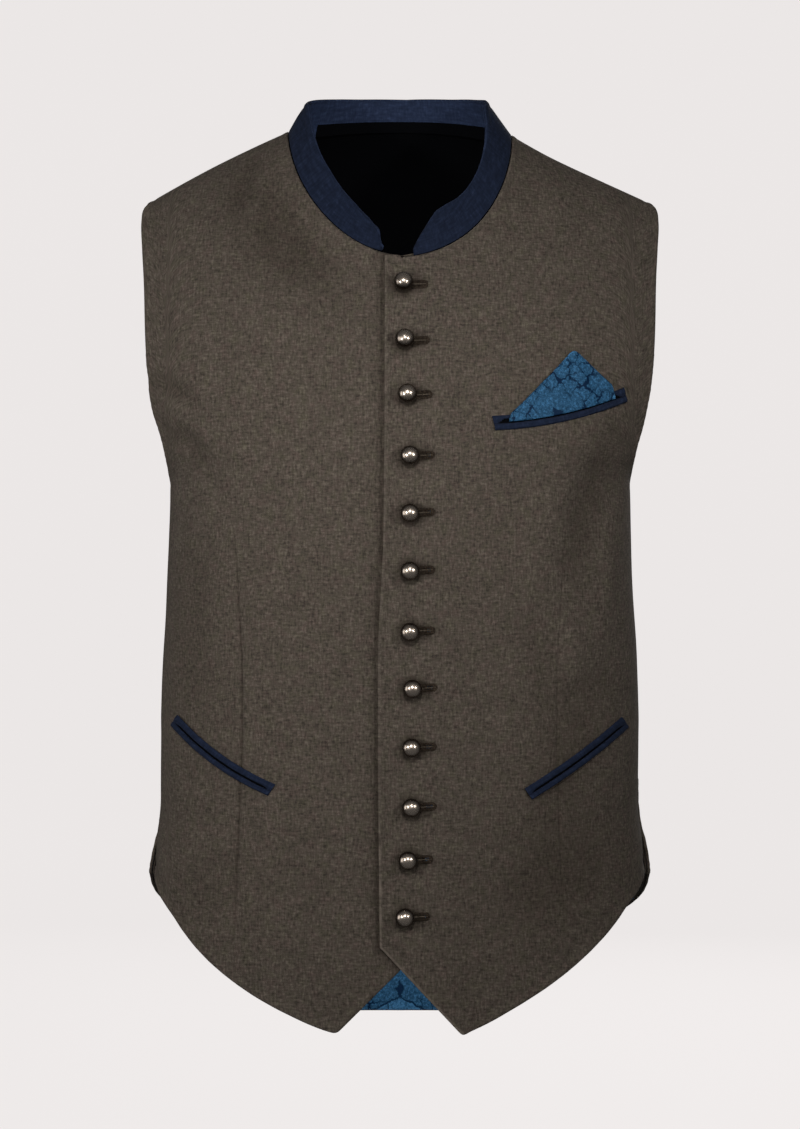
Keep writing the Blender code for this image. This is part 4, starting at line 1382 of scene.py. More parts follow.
class WAISTCOAT_OT_fronts(bpy.types.Operator):
    """Cuts and sews the two fronts, and cuts the buttonholes in the outer one"""

    bl_idname = "waistcoat.fronts"
    bl_label = "Fronts"

    def execute(self, context):
        self.sew(context, UNDER)
        self.cut_slots(context, self.sew(context, OVER))
        return {"FINISHED"}

    def sew(self, context, front):
        flat = front_points(front_grid(front))
        normals = grid_normals(flat, np.array([0.0, -1.0, 0.0]))
        x, z = flat[..., 0], flat[..., 2]
        bottom, top, centre, side = [front_points(line) for line in front_outline(front)]
        if front.lifted:
            flat = flat + normals * lap_lift(x)[..., None]
            for line in (bottom, top, centre, side):
                line[:, 1] -= lap_lift(line[:, 0])
        calm = np.concatenate([top, centre[-NECK_ROWS * FINE:]])
        fade = ease(edge_distance(flat, calm[::2]) / CALM)
        creases = crease_heights(x, z, front.creases)
        height = creases + slackness(x, z, front.seed) * context.scene.waistcoat_cloth.slack
        height += pocket_sinks(front, x, z)
        height *= fade
        dart, share = distance_to_line(x * front.sign, z, FRONT_DART)
        strength = front.dart_depth * np.sin(np.pi * np.clip(share * 1.02, 0, 1)) ** 0.5
        height += strength * sum(seam_groove(dart, *groove) for groove in FRONT_DART_SEAM)
        edges = np.concatenate([bottom, centre, side[:VENT_POINTS], side[SIDE_POINTS:]])
        height += turned_edge(edge_distance(flat, edges[::2]))
        past = x + OVER.edge(z)
        if front.lifted:
            height += 0.7 * bell(past, 2.6) * ease((z + 640.0) / 40.0)
        else:
            height += seam_groove(past + 1.2, *LAP_SEAM) * fade
        height += seam_groove(edge_distance(flat, side[VENT_POINTS:SIDE_POINTS]), *SEAM)
        height += seam_groove(edge_distance(flat, top[::2]), *SEAM)
        outer = flat + normals * height[..., None]
        # Painted light: shade in the creases and along the dart, and shade and highlights at the edges
        pressed = painted_crease_shade(creases) * fade
        pressed += front.dart_dark * strength * bell(dart, 1.0)
        edge = np.concatenate([centre, bottom[:DIAGONAL_COLUMNS * FINE]])
        pressed += self.painted_light_at_edge(front, flat, x, z, edge)
        piece = cloth(
            front.node, outer, normals, WOOL, FRONT.unrolled(x, z),
            [wool(context), satin(context, "satin")], slots_in=self.lined(*x.shape), pressed=pressed,
        )
        dress(piece, front.node)
        return piece

    def lined(self, rows, columns):
        """Inside, satin shows between the wool that faces the front edge, the hem and the side."""
        inside = np.ones((rows - 1, columns - 1), int)
        inside[:, :24] = inside[:7, :] = inside[:, -6:] = 0
        return inside

    def painted_light_at_edge(self, front, flat, x, z, edge):
        """Painted light at the edges. On the over-front: a painted highlight along its edge, strongest
        low down, and painted shade round the buttons and along their buttonholes. On the under-front: a
        painted shadow beside the over-front's edge, and painted shade where it lies under the
        over-front.
        """
        if front.lifted:
            low = 0.25 + 0.75 * ease((-490.0 - z) / 70.0)
            pressed = -0.45 * low * bell(edge_distance(flat, edge), 1.0)
            for button_x, button_z in BUTTONS:
                along, up = x - button_x, z - button_z
                pressed += 0.82 * np.exp(-(np.hypot(along, up) / 8.7) ** 4)
                pressed += 0.45 * np.exp(-(np.hypot((along - 10.0) / 9.5, up / 4.6) ** 4))
            return np.minimum(pressed, 0.9)
        corner = np.array([-OVER.bottom[1], OVER.bottom[0]])
        tip = np.array([FRONT_HEM[0][0], FRONT_HEM[0][1] - OVER.tip_drop])
        heights = np.linspace(OVER.top[0], OVER.bottom[0], 24)
        line = [(-float(OVER.edge(height)), height) for height in heights] + [tuple(tip)]
        away = distance_to_line(x, z, line)[0]
        slope = (tip[0] - corner[0]) / (corner[1] - tip[1])
        edge_x = np.where(z > corner[1], -OVER.edge(z), corner[0] + (corner[1] - z) * slope)
        shadow = 0.34 * bell(away, 2.2) + 0.22 * bell(away, 6.5)
        return np.where(x < edge_x, shadow, 0.3)

    def cut_slots(self, context, piece):
        """Cuts the twelve slots through the over-front."""
        slot = start_model("cylinder", vertices=20, radius=SLOT_RADIUS, depth=SLOT_DEPTH)
        select_where(slot, lambda co: co.x > 0.01)
        bpy.ops.transform.translate(value=(HOLE_END - HOLE_START, 0.0, 0.0))
        shape, faces = take_shape(slot)
        slots = []
        for x, z in BUTTONS:
            place = buttonhole_place(x, z, shape[:, 0] + HOLE_START, shape[:, 1])
            slots.append((on_over_front(*place, shape[:, 2] - SLOT_INWARDS) * MM, faces))
        points, faces = joined(slots)
        mesh = bpy.data.meshes.new("buttonhole_slots")
        mesh.from_pydata(points.tolist(), [], faces)
        build = bmesh.new()
        build.from_mesh(mesh)
        bmesh.ops.recalc_face_normals(build, faces=build.faces)
        build.to_mesh(mesh)
        build.free()
        cutter = bpy.data.objects.new("buttonhole_slots", mesh)
        context.scene.collection.objects.link(cutter)
        bpy.ops.object.select_all(action="DESELECT")
        context.view_layer.objects.active = piece
        piece.select_set(True)
        cut = piece.modifiers.new("slots", "BOOLEAN")
        cut.operation, cut.solver, cut.object = "DIFFERENCE", "EXACT", cutter
        bpy.ops.object.modifier_apply(modifier=cut.name)
        bpy.data.objects.remove(cutter)


def back_relief(context, flat, top, creases):
    """Height of the back's creases, slack and darts, which its lining follows."""
    x, z = flat[..., 0], flat[..., 2]
    height = creases + slackness(x, z, 11) * context.scene.waistcoat_cloth.slack
    height *= ease(edge_distance(flat, top[::2]) / CALM)
    for sign in (-1, 1):
        dart, share = distance_to_line(x * sign, z, BACK_DART)
        height += np.sin(np.pi * share) ** 0.5 * seam_groove(dart, *BACK_DART_SEAM)
    return height


class WAISTCOAT_OT_back(bpy.types.Operator):
    """Cuts and sews the back"""

    bl_idname = "waistcoat.back"
    bl_label = "Back"

    def execute(self, context):
        flat = BACK.points(back_grid(190, 150))
        normals = grid_normals(flat, np.array([0.0, 1.0, 0.0]))
        x, z = flat[..., 0], flat[..., 2]
        bottom, top, *sides = [BACK.points(line) for line in back_outline()]
        tip = BACK_SHOULDER_COLUMNS * FINE
        vents = [side[:VENT_POINTS] for side in sides]
        armholes = [side[SIDE_POINTS:] for side in sides]
        seams = [side[VENT_POINTS:SIDE_POINTS] for side in sides]
        creases = crease_heights(x, z, BACK_CREASES)
        height = back_relief(context, flat, top, creases)
        height += sum(seam_groove(np.abs(x), *groove) for groove in CENTRE_SEAM)
        edges = np.concatenate([bottom, top[tip:-tip], *vents, *armholes])
        height += turned_edge(edge_distance(flat, edges[::2]))
        seams = np.concatenate([*seams, top[:tip], top[-tip:]])
        height += seam_groove(edge_distance(flat, seams), *SEAM)
        # Painted shade in the creases and, faintly, along the vents
        pressed = painted_crease_shade(creases)
        pressed += 0.10 * bell(edge_distance(flat, np.concatenate(vents)), 9.0)
        outer = flat + normals * height[..., None]
        uv = BACK.unrolled(x, z)
        piece = cloth("back", outer, normals, WOOL, uv, [wool(context)], pressed=pressed)
        dress(piece, "back")
        return {"FINISHED"}


class WAISTCOAT_OT_lining(bpy.types.Operator):
    """Lines the back with jacquard satin, painted paler as painted light, faces the yoke inside with
    near-black cloth as painted shade, and faces the vents with wool carrying painted shade
    """

    bl_idname = "waistcoat.lining"
    bl_label = "Back lining"

    def execute(self, context):
        places = back_grid(150, 110)
        flat = BACK.points(places)
        normals = grid_normals(flat, np.array([0.0, 1.0, 0.0]))
        x, z = flat[..., 0], flat[..., 2]
        top = BACK.points(back_outline()[1])
        height = back_relief(context, flat, top, crease_heights(x, z, BACK_CREASES))
        height += seam_groove(np.abs(x), *CENTRE_SEAM[1])
        outer = flat + normals * (np.minimum(height, 0.4) - WOOL - LINING_GAP)[..., None]
        turn, climb = places[:-1, :-1, 0], places[:-1, :-1, 1]
        inside = np.zeros(turn.shape, int)
        inside[climb > YOKE_FACING] = 1
        inside[(np.abs(turn) > VENT_FACING_TURN) & (z[:-1, :-1] < VENT_FACING)] = 2
        # The lining is a paler copy of the satin, as painted light; the yoke's facing is near-black, as
        # painted shade, and the wool at the vents and the rim carries painted shade at half strength
        piece = cloth(
            "back_lining", outer, normals, LINING, BACK.unrolled(x, z),
            [satin(context, "lining"), painted_shade_cloth(), wool(context)],
            slots_in=inside, rim_slot=2, pressed=np.full(x.shape, 0.5),
        )
        dress(piece, "back_lining")
        return {"FINISHED"}


def neck_line(front, count):
    """A front's neck seam from its collar end to the shoulder, with its normals."""
    line = front_neck(front, count)
    points, normals = surface(FRONT, line[:, 0], line[:, 1], front.lifted)
    points[-1] = FRONT.points(np.array([FRONT.places(*line[-1])[0], QUARTER]))
    keep = points[:, 0] * front.sign > front.collar_end
    at = front.collar_end * front.sign
    k = np.nonzero(keep)[0][0]
    share = (at - points[k - 1, 0]) / (points[k, 0] - points[k - 1, 0])
    first = points[k - 1] * (1 - share) + points[k] * share
    return np.concatenate([[first], points[k:]]), np.concatenate([[normals[k]], normals[k:]])


def collar_grid(columns, rows, reach=0.0):
    """Grid of the collar's outer face, from its seam, or from below it at the back, to its top."""
    under, under_normals = neck_line(UNDER, 160)
    over, over_normals = neck_line(OVER, 160)
    line = back_neck(120)
    back, back_normals = surface(BACK, line[:, 0], line[:, 1] - 0.4, False)
    seam = np.concatenate([under[:-1], back, over[-2::-1]])
    normals = np.concatenate([under_normals[:-1], back_normals, over_normals[-2::-1]])
    lengths = np.concatenate([[0.0], np.cumsum(np.linalg.norm(np.diff(seam, axis=0), axis=1))])
    at = np.linspace(0.0, 1.0, columns + 1)
    at = lengths[-1] * (at - 0.55 * np.sin(at * math.tau) / math.tau)
    seam = np.stack([np.interp(at, lengths, seam[:, k]) for k in range(3)], axis=1)
    normals = unit(np.stack([np.interp(at, lengths, normals[:, k]) for k in range(3)], axis=1))
    for _ in range(10):
        normals[1:-1] = unit(normals[:-2] + normals[1:-1] * 2 + normals[2:])
        seam[2:-2] = (seam[1:-3] + 2 * seam[2:-2] + seam[3:-1]) / 4
    along = np.gradient(seam, axis=0)
    base = seam + unit(np.cross(along, normals)) * COLLAR_GAP
    half = lengths[-1] / 2
    share = 1 - np.abs(at - half) / half
    rise, lean = [
        np.where(at < half, Profile(COLLAR_BAND_RIGHT, k)(share), Profile(COLLAR_BAND_LEFT, k)(share))
        for k in (1, 2)
    ]
    inward = np.stack([-base[:, 0], COLLAR_AXIS_Y - base[:, 1], np.zeros(len(base))], axis=1)
    inward = unit(inward)
    up = np.array([0.0, 0.0, 1.0])
    top = base + inward * lean[:, None] + up * rise[:, None]
    back = ease((share - 0.5) / 0.16)
    t = (rows[:, None] - reach * back * (1 - rows[:, None]))[..., None]
    grid = base * (1 - t) + top * t + (up - inward) * COLLAR_BELLY * t * (1 - t)
    return grid, at, rise, back


class WAISTCOAT_OT_collar(bpy.types.Operator):
    """Sews the stand collar: its outer cloth and its facing"""

    bl_idname = "waistcoat.collar"
    bl_label = "Stand collar"

    def execute(self, context):
        rows = np.concatenate([[0.0, 0.06, 0.1, 0.15], np.linspace(0.22, 0.86, 14), [0.91, 0.95, 1.0]])
        self.sew(context, "collar_outer", rows, 0.0, 0.0131)
        self.sew(context, "collar_facing", rows, 0.15, 0.0136)
        return {"FINISHED"}

    def sew(self, context, node, rows, reach, flat_area):
        """The facing lies inside the outer cloth, and laps over the top of the lining at the back."""
        grid, at, rise, back = collar_grid(300, rows, reach)
        outwards = grid.mean(axis=0, keepdims=True) - np.array([0.0, COLLAR_AXIS_Y, 0.0])
        normals = grid_normals(grid, outwards)
        share = rows[:, None]
        below_top = (1 - share) * rise
        ripple = 0.22 * np.sin(at / 23.0 + 1.0) + 0.16 * np.sin(at / 9.7 + 2.2 + 2 * share)
        height = ripple * np.sin(np.pi * share) + 0.42 * bell(below_top - 2.2, 1.3)
        height = height - 0.30 * bell(below_top - 4.4, 0.9)
        if reach:
            foot = np.clip(1 - share / 0.3, 0.0, 1.0) ** 2
            height = height - COLLAR_CLOTH - SEAM_GAP - 2.3 * back * foot
        outer = grid + normals * height[..., None]
        uv = np.stack(np.broadcast_arrays(at[None, :], share * rise[None, :]), axis=-1)
        count, columns = outer.shape[:2]
        top = count + columns - 2
        # On the outer collar the top rim takes slot 1, a paler copy of the linen, as a painted highlight
        rim = np.zeros(2 * top, int)
        rim[top:top + columns] = 1
        slots = np.zeros((count - 1, columns - 1), int)
        if reach:
            # The facing is a paler copy of the linen, as painted light; at the back its foot and its
            # lower rim are near-black, as painted shade
            facing = linen(context, "facing")
            materials = [facing, facing, painted_shade_cloth()]
            rim[:columns] = 2
            behind = (back > 0.0) & (np.abs(outer[0, :, 0]) < FACING_HALF)
            slots[(rows[:-1, None] < FACING_FOOT) & behind[:-1]] = 2
        else:
            materials = [linen(context, "cloth"), linen(context, "edge")]
        piece = cloth(
            node, outer, normals, FACING if reach else COLLAR_CLOTH, uv, materials,
            slots_in=slots, slots_out=slots, rim_slot=rim,
        )
        dress(piece, node)


def band(context, name, pocket, edges, sign, lifted, thickness, mouth=1.0):
    """A folded strip of cloth along a pocket's opening, between two distances. Past the share
    that is given as its mouth, it lies back in the pocket and shows near-black cloth as painted shade,
    but not at the ends of the pocket, where it is sewn shut."""
    shares = np.linspace(0.0, 1.0, 11)
    if mouth < 1.0:
        shares = np.concatenate([np.linspace(0.0, mouth - 0.05, 6), np.linspace(mouth - 0.03, 1.0, 11)])
    ends = np.array([0.0, 0.012, 0.022])
    shares_along = np.concatenate([ends, np.linspace(0.034, 0.966, 67), [0.978, 0.988, 1.0]])
    first, last = [pocket_line(pocket, below, 200) for below in edges]
    keys = np.linspace(0.0, 1.0, len(first))
    seen = []
    for share in shares:
        line = first * (1 - share) + last * share
        seen.append(np.stack([np.interp(shares_along, keys, line[:, k]) for k in range(2)], axis=1))
    seen = np.array(seen)
    points, normals = surface(FRONT, sign * seen[..., 0], seen[..., 1], lifted)
    open_here = ease(np.minimum(shares_along, 1 - shares_along) / 0.07 - 0.25)
    mouth_here = 1.0 - (1.0 - mouth) * open_here
    shares = shares[:, None]
    sunk = ease((shares - mouth_here + 0.05) / 0.08) * (mouth_here < 0.995)
    crown = 0.5 * np.sin(np.pi * np.clip(shares / mouth_here, 0.0, 1.0)) * (1 - sunk)
    wall = thickness * (1 - 0.6 * sunk)
    height = SEAM_GAP + wall + crown + 0.08 * np.sin(shares_along * 31.0) * (1 - sunk)
    step = np.linalg.norm(np.diff(points[5], axis=0), axis=1)
    along = np.concatenate([[0.0], np.cumsum(step)])
    width = abs(edges[1] - edges[0])
    uv = np.stack(np.broadcast_arrays(along[None, :], shares * width), axis=-1)
    inside = ((sunk[1:, 1:] + sunk[1:, :-1]) / 2 > 0.5).astype(int)
    outer = points + normals * height[..., None]
    # The lips are a paler copy of the linen, and the mouth is near-black painted shade
    materials = [linen(context, "lips"), painted_shade_cloth()]
    piece = cloth(name, outer, normals, wall, uv, materials, slots_in=inside, slots_out=inside)
    dress(piece, name)


class WAISTCOAT_OT_lower_pockets(bpy.types.Operator):
    """Sews the two lips of each lower pocket"""

    bl_idname = "waistcoat.lower_pockets"
    bl_label = "Lower pockets"

    def execute(self, context):
        width = context.scene.waistcoat_pockets.jet_width / MM
        half = JET_SLIT / 2
        # The slit lies a little low, so that the upper lip shows its near-black painted shade
        slit = half + SLIT_DROP
        lips = (("upper", (-half - width, slit), 0.75), ("lower", (slit, half + width), 1.0))
        for side, front in (("under", UNDER), ("over", OVER)):
            for lip, edges, mouth in lips:
                name = f"pocket_{side}_jet_{lip}"
                pocket = LOWER_POCKETS[side]
                band(context, name, pocket, edges, front.sign, front.lifted, JET_THICKNESS, mouth)
        return {"FINISHED"}


class WAISTCOAT_OT_breast_pocket(bpy.types.Operator):
    """Sews the breast pocket's welt and the lip above it"""

    bl_idname = "waistcoat.breast_pocket"
    bl_label = "Breast pocket"

    def execute(self, context):
        settings = context.scene.waistcoat_pockets
        welt = (JET_SLIT, JET_SLIT + settings.welt_width / MM)
        band(context, "breast_welt", BREAST_POCKET, welt, 1, True, WELT_THICKNESS)
        lip = (-settings.breast_jet_width / MM, JET_SLIT + 0.2)
        band(context, "breast_jet", BREAST_POCKET, lip, 1, True, JET_THICKNESS, mouth=0.46)
        return {"FINISHED"}


class WAISTCOAT_OT_pocket_square(bpy.types.Operator):
    """Folds the pocket square that stands in the breast pocket"""

    bl_idname = "waistcoat.pocket_square"
    bl_label = "Pocket square"

    def execute(self, context):
        start, end, sag = np.array(BREAST_POCKET[0]), np.array(BREAST_POCKET[1]), BREAST_POCKET[2]
        edge = np.array(SQUARE_EDGE)
        share = np.linspace(edge[0, 0], edge[-1, 0], 81)
        top = np.interp(share, edge[:, 0], edge[:, 1])
        foot = start * (1 - share[:, None]) + end * share[:, None]
        foot[:, 1] -= sag * 4 * share * (1 - share)
        z = foot[:, 1] + top * np.linspace(0.0, 1.0, 31)[:, None]
        x = np.broadcast_to(foot[:, 0], z.shape)
        points, normals = surface(FRONT, x, z, True)
        tip_x, tip_z = start * (1 - SQUARE_TIP[0]) + end * SQUARE_TIP[0] + [0.0, SQUARE_TIP[1]]
        tip = (tip_x, tip_z)
        folds = (
            ((tip, (tip_x - 3.0, -208.0)), -0.8, 1.8),
            ((tip, (tip_x - 17.0, -216.0)), 0.9, 3.5),
            ((tip, (tip_x + 12.0, -206.0)), 0.8, 3.2),
            (((tip_x - 30.0, -206.0), (tip_x - 20.0, -218.0)), -0.5, 2.0),
        )
        height = crease_heights(x, z, folds)
        height += 0.2 * np.sin(x / 3.1 + z / 7.0)
        stand = 2 * SEAM_GAP + JET_THICKNESS + SQUARE_CLOTH
        outer = points + normals * (stand + height * 0.7)[..., None]
        across, up = np.moveaxis(FRONT.unrolled(x, z), -1, 0)
        turned = np.stack([across * 0.8 + up * 0.6, up * 0.8 - across * 0.6], axis=-1)
        materials = [satin(context, "satin")]
        piece = cloth("pocket_square", outer, normals, SQUARE_CLOTH, turned, materials)
        dress(piece, "pocket_square")
        return {"FINISHED"}


class WAISTCOAT_OT_buttonholes(bpy.types.Operator):
    """Works the twelve buttonholes with close purl stitches"""

    bl_idname = "waistcoat.buttonholes"
    bl_label = "Buttonholes"

    def execute(self, context):
        stitch, stitch_faces = self.model_stitch()
        cord = self.model_cord()
        bar, bar_faces = self.model_gimp()
        materials = [finish_named(name, thread_finish, *shades) for name, shades in THREADS.items()]
        count = context.scene.waistcoat_buttons.stitches
        for number, (x, z) in enumerate(BUTTONS, 1):
            rng = np.random.default_rng(number)
            shapes = [cord]
            for share in np.arange(count) / count:
                shapes.append((self.lay_stitch(stitch, share, rng), stitch_faces))
            shapes.append((bar + np.array([0.0, rng.uniform(-0.15, 0.15), 0.0]), bar_faces))
            points, faces = joined(shapes)
            slots = [0] * (len(faces) - len(bar_faces)) + [1] * len(bar_faces)
            place = buttonhole_place(x, z, points[:, 0], points[:, 1])
            worked = on_over_front(*place, points[:, 2] + SEAM_GAP + 0.1)
            name = f"buttonhole_{number:02d}"
            placed(name + "_stitches", worked, faces, materials, name, slots)
        return {"FINISHED"}

    def lay_stitch(self, stitch, share, rng):
        """A stitch this share of the way round the slot, a little uneven in length and lie."""
        where, out, inner = self.path(share)
        reach = 3.25 - inner + rng.uniform(-0.15, 0.2)
        middle = inner + reach / 2
        turned = rng.uniform(-0.07, 0.07)
        across = np.array([-out[1], out[0]])
        direction = out * math.cos(turned) + across * math.sin(turned)
        side = np.array([-direction[1], direction[0]])
        flat = (
            where + out * middle
            + stitch[:, :1] * side * rng.uniform(0.92, 1.1)
            + stitch[:, 1:2] * direction * reach / 2
        )
        return np.concatenate([flat, stitch[:, 2:] * rng.uniform(0.9, 1.1)], axis=1)

    def path(self, share):
        """Point of the slot's axis, direction out and inner reach at a share of the way round."""
        straight = HOLE_END - HOLE_START
        bend = math.pi * HOLE_SLOT / 2 * 1.5
        at = share * 2 * (straight + bend)
        if at < straight:
            along, out = HOLE_START + at, np.array([0.0, -1.0])
        elif at < straight + bend:
            angle = -QUARTER + math.pi * (at - straight) / bend
            along, out = HOLE_END, np.array([math.cos(angle), math.sin(angle)])
        elif at < 2 * straight + bend:
            along, out = HOLE_END - (at - straight - bend), np.array([0.0, 1.0])
        else:
            angle = QUARTER + math.pi * (at - 2 * straight - bend) / bend
            along, out = HOLE_START, np.array([math.cos(angle), math.sin(angle)])
        inner = 0.15 + 1.65 * float(ease((4.6 - along) / 2.6))
        return np.array([along, 0.0]), out, inner

    def model_stitch(self):
        """One stitch: a low bar of thread with its knot at the inner end."""
        bar = start_model(
            "uv_sphere", segments=6, ring_count=6, radius=1.0, rotation=(QUARTER, 0, 0)
        )
        bpy.ops.transform.resize(value=(0.46, 1.0, 0.5))
        select_where(bar, lambda co: co.y < -0.6)
        bpy.ops.transform.resize(value=(1.25, 1.0, 1.45))
        return take_shape(bar)

    def model_gimp(self):
        """The thin cord that lies between the lips of the slot."""
        gimp = start_model(
            "uv_sphere", segments=8, ring_count=12, radius=1.0, rotation=(0, QUARTER, 0)
        )
        bpy.ops.transform.resize(value=(6.6, 0.42, 0.5))
        bpy.ops.transform.translate(value=(9.9, 0.0, 0.75))
        return take_shape(gimp)

    def model_cord(self):
        """The cord that runs round the slot under the stitches."""
        ring = start_model(
            "torus", major_segments=32, minor_segments=8, major_radius=2.5, minor_radius=0.45
        )
        select_where(ring, lambda co: co.x > 0.01)
        bpy.ops.transform.translate(value=(HOLE_END - HOLE_START, 0.0, 0.0))
        bpy.ops.mesh.select_all(action="SELECT")
        bpy.ops.transform.translate(value=(HOLE_START, 0.0, 0.0))
        bpy.ops.transform.resize(value=(1.0, 1.0, 0.7))
        return take_shape(ring)


class WAISTCOAT_OT_buttons(bpy.types.Operator):
    """Casts one ball button with its shank, and sews on twelve"""

    bl_idname = "waistcoat.buttons"
    bl_label = "Ball buttons"

    def execute(self, context):
        settings = context.scene.waistcoat_buttons
        radius, depth = settings.ball_radius / MM, settings.ball_depth / MM
        above = 2 * SEAM_GAP + HOLE_THREAD + depth
        shape, faces = self.model(radius, depth, above + LAP_LIFT - SEAM_GAP)
        materials = [finish_named("aged_white_metal", metal_finish, settings)]
        # Height towards the crown, which the metal's painted light follows
        crown = np.clip(shape[:, 2] / depth, 0.0, 1.0)
        corners = crown[np.concatenate([np.array(face) for face in faces])]
        for number, (x, z) in enumerate(BUTTONS, 1):
            (point,), (normal,) = surface(FRONT, np.array([x]), np.array([z]), True)
            turn = np.array(Vector(normal).to_track_quat("Z", "Y").to_matrix())
            cast = shape @ turn.T + (point + normal * above)
            name = f"button_{number:02d}"
            ball = placed(name + "_ball", cast, faces, materials, name)
            layer = ball.data.uv_layers.new(name="crown")
            layer.data.foreach_set("uv", np.stack([corners, corners], axis=1).ravel())
        return {"FINISHED"}

    def model(self, radius, depth, stand):
        """A flattened ball with a flat foot, drawn out into a shank as long as it stands high."""
        ball = start_model("uv_sphere", segments=40, ring_count=26, radius=radius)
        bpy.ops.transform.resize(value=(1.0, 1.0, depth / radius))
        foot = depth * 0.97
        select_where(ball, lambda co: math.hypot(co.x, co.y) < 2.6 and co.z < 0)
        bpy.ops.transform.resize(value=(1.0, 1.0, 0.0), center_override=(0.0, 0.0, -foot))
        bpy.ops.mesh.inset(thickness=0.9, depth=0.0)
        down = {"value": (0.0, 0.0, -(stand - foot))}
        bpy.ops.mesh.extrude_region_move(TRANSFORM_OT_translate=down)
        return take_shape(ball)


# Studio, in metres: the camera's height, the width that it takes in at the shoulders, and what the
# outer lamps point at
CAMERA_HEIGHT = -0.3266
VIEW_WIDTH = 0.84675
SENSOR_WIDTH = 36.0
BODY_MIDDLE = (0.0, -0.08, -0.20)
# Lamps: name, place, what it points at, size, spread in degrees. The small one inside the body
# stands for the light that a pale floor would throw up there
LAMPS = (
    ("key", (-0.68, -0.98, -0.25), BODY_MIDDLE, (0.15, 0.17), 130.0),
    ("side", (-1.50, -0.45, -0.30), BODY_MIDDLE, (0.70, 0.90), 120.0),
    ("middle", (-0.03, -1.95, 0.34), BODY_MIDDLE, (0.17, 0.17), 60.0),
    ("fill", (0.72, -1.05, -0.10), BODY_MIDDLE, (0.16, 0.18), 90.0),
    ("behind", (0.40, 2.00, 0.20), BODY_MIDDLE, (1.40, 1.20), 170.0),
    ("inside", (0.0, -0.02, -0.59), (0.0, 0.11, -0.652), (0.10, 0.03), 180.0),
)


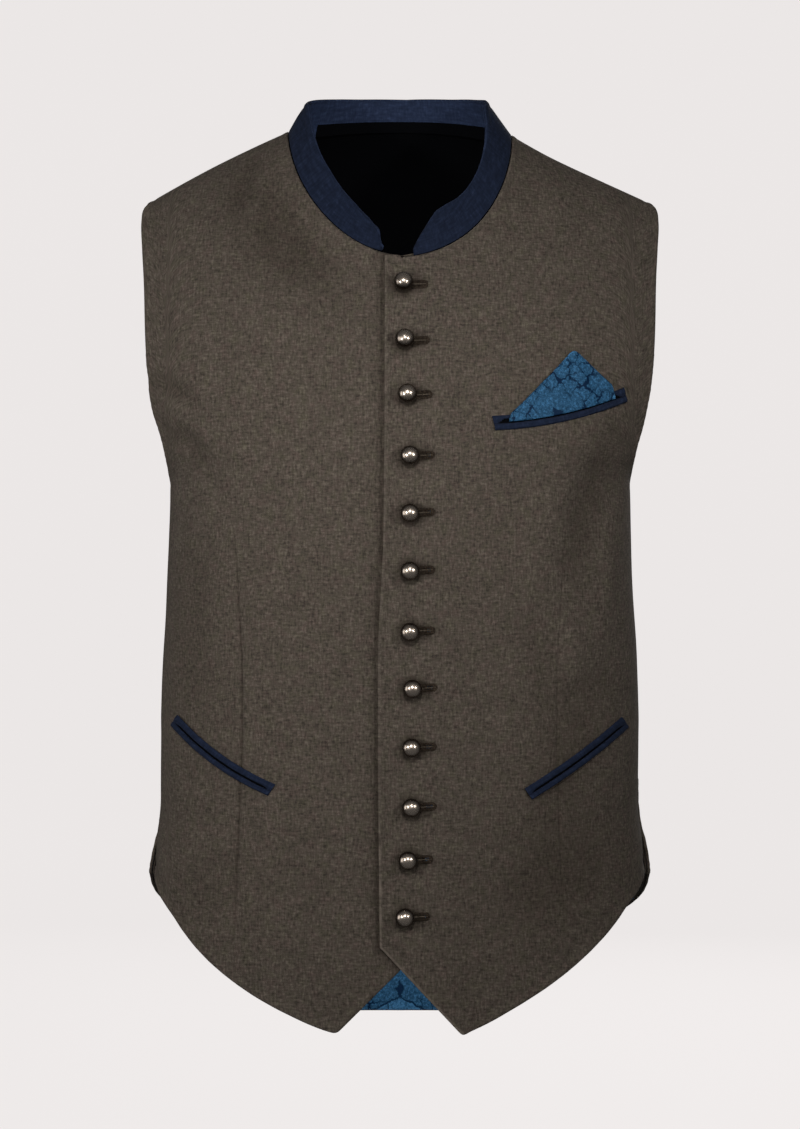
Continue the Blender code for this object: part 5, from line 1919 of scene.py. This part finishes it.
class WAISTCOAT_OT_stage(bpy.types.Operator):
    """Sets up the pale studio, its lights and the camera"""

    bl_idname = "waistcoat.stage"
    bl_label = "Studio and camera"

    def execute(self, context):
        settings = context.scene.waistcoat_studio
        self.lay_floor(settings)
        self.set_lights(context, settings)
        self.set_camera(context, settings)
        context.scene.view_settings.view_transform = "Standard"
        context.scene.view_settings.look = "None"
        return {"FINISHED"}

    def lay_floor(self, settings):
        """A round pale floor that curves up into a wall all round."""
        radius, curve, wall, steps = 7.0, 2.4, 6.5, 16
        wide = radius - curve
        floor = start_model(
            "circle", vertices=96, radius=wide, fill_type="NGON", location=(0, 0, settings.floor_height)
        )
        floor.name = floor.data.name = "studio_floor"
        bpy.ops.mesh.select_mode(type="EDGE")
        bpy.ops.mesh.region_to_loop()
        for k in range(1, steps + 1):
            angle = QUARTER * k / steps
            out = radius - curve + curve * math.sin(angle)
            rise = curve * (math.cos(QUARTER * (k - 1) / steps) - math.cos(angle))
            bpy.ops.mesh.extrude_edges_move(TRANSFORM_OT_translate={"value": (0, 0, rise)})
            bpy.ops.transform.resize(value=(out / wide, out / wide, 1.0))
            wide = out
        bpy.ops.mesh.extrude_edges_move(TRANSFORM_OT_translate={"value": (0, 0, wall - curve)})
        bpy.ops.mesh.select_all(action="SELECT")
        bpy.ops.mesh.normals_make_consistent(inside=True)
        bpy.ops.object.mode_set(mode="OBJECT")
        floor.data.shade_smooth()
        floor.data.materials.append(self.paper(settings))
        floor.visible_diffuse = floor.visible_glossy = False

    def paper(self, settings):
        """Pale paper that lights itself, so that no lamp has to reach all of it."""
        finish = Finish("studio_paper")
        cloud = finish.add("TexNoise", {"Scale": 3.0, "Detail": 2.0}).outputs[0]
        paper = tuple(settings.paper_colour)
        colour = finish.ramp(cloud, (0.3, shade(paper, 0.995)), (0.7, shade(paper, 1.005)))
        finish.shine(Base_Color=shade(paper, 0.03) + (1.0,), Roughness=0.9, Emission_Color=colour)
        finish.shine(Emission_Strength=0.985, Specular_IOR_Level=0.1)
        return finish.material

    def set_lights(self, context, settings):
        world = bpy.data.worlds.new("studio")
        world.use_nodes = True
        sky = world.node_tree.nodes["Background"]
        sky.inputs["Color"].default_value = (0.95, 0.97, 1.0, 1.0)
        sky.inputs["Strength"].default_value = 0.085
        context.scene.world = world
        for name, place, target, size, spread in LAMPS:
            light = bpy.data.lights.new(name, "AREA")
            light.shape = "RECTANGLE"
            light.size, light.size_y = size
            light.energy = getattr(settings, name)
            light.spread = math.radians(spread)
            lamp = bpy.data.objects.new(name, light)
            lamp.location = place
            lamp.rotation_mode = "QUATERNION"
            lamp.rotation_quaternion = (Vector(target) - Vector(place)).to_track_quat("-Z", "Y")
            lamp.visible_camera = False
            context.scene.collection.objects.link(lamp)

    def set_camera(self, context, settings):
        """The camera takes in the same width wherever it stands."""
        data = bpy.data.cameras.new("camera")
        data.sensor_width = SENSOR_WIDTH
        data.lens = SENSOR_WIDTH * settings.distance / VIEW_WIDTH
        camera = bpy.data.objects.new("camera", data)
        camera.location = (0.0, -settings.distance, CAMERA_HEIGHT)
        camera.rotation_euler = (QUARTER, 0.0, 0.0)
        context.scene.collection.objects.link(camera)
        context.scene.camera = camera


OPERATORS = (
    WAISTCOAT_OT_stage,
    WAISTCOAT_OT_fronts,
    WAISTCOAT_OT_back,
    WAISTCOAT_OT_lining,
    WAISTCOAT_OT_collar,
    WAISTCOAT_OT_lower_pockets,
    WAISTCOAT_OT_breast_pocket,
    WAISTCOAT_OT_pocket_square,
    WAISTCOAT_OT_buttonholes,
    WAISTCOAT_OT_buttons,
)


class WAISTCOAT_PT_panel(bpy.types.Panel):
    """Lists the waistcoat's pieces and their settings"""

    bl_label = "Waistcoat"
    bl_idname = "WAISTCOAT_PT_panel"
    bl_space_type = "VIEW_3D"
    bl_region_type = "UI"
    bl_category = "Waistcoat"

    def draw(self, context):
        layout = self.layout
        for operator in OPERATORS:
            layout.operator(operator.bl_idname)
        for name in SETTINGS:
            box = layout.box()
            group = getattr(context.scene, name)
            for key in group.bl_rna.properties.keys():
                if key not in ("rna_type", "name"):
                    box.prop(group, key)


SETTINGS = {
    "waistcoat_cloth": ClothSettings,
    "waistcoat_pockets": PocketSettings,
    "waistcoat_buttons": ButtonSettings,
    "waistcoat_studio": StudioSettings,
}


def register():
    for name, group in SETTINGS.items():
        bpy.utils.register_class(group)
        setattr(bpy.types.Scene, name, PointerProperty(type=group))
    for kind in OPERATORS + (WAISTCOAT_PT_panel,):
        bpy.utils.register_class(kind)


def unregister():
    for kind in reversed(OPERATORS + (WAISTCOAT_PT_panel,)):
        bpy.utils.unregister_class(kind)
    for name, group in SETTINGS.items():
        delattr(bpy.types.Scene, name)
        bpy.utils.unregister_class(group)


def main():
    register()
    for operator in OPERATORS:
        group, name = operator.bl_idname.split(".")
        getattr(getattr(bpy.ops, group), name)()


if __name__ == "__main__":
    main()
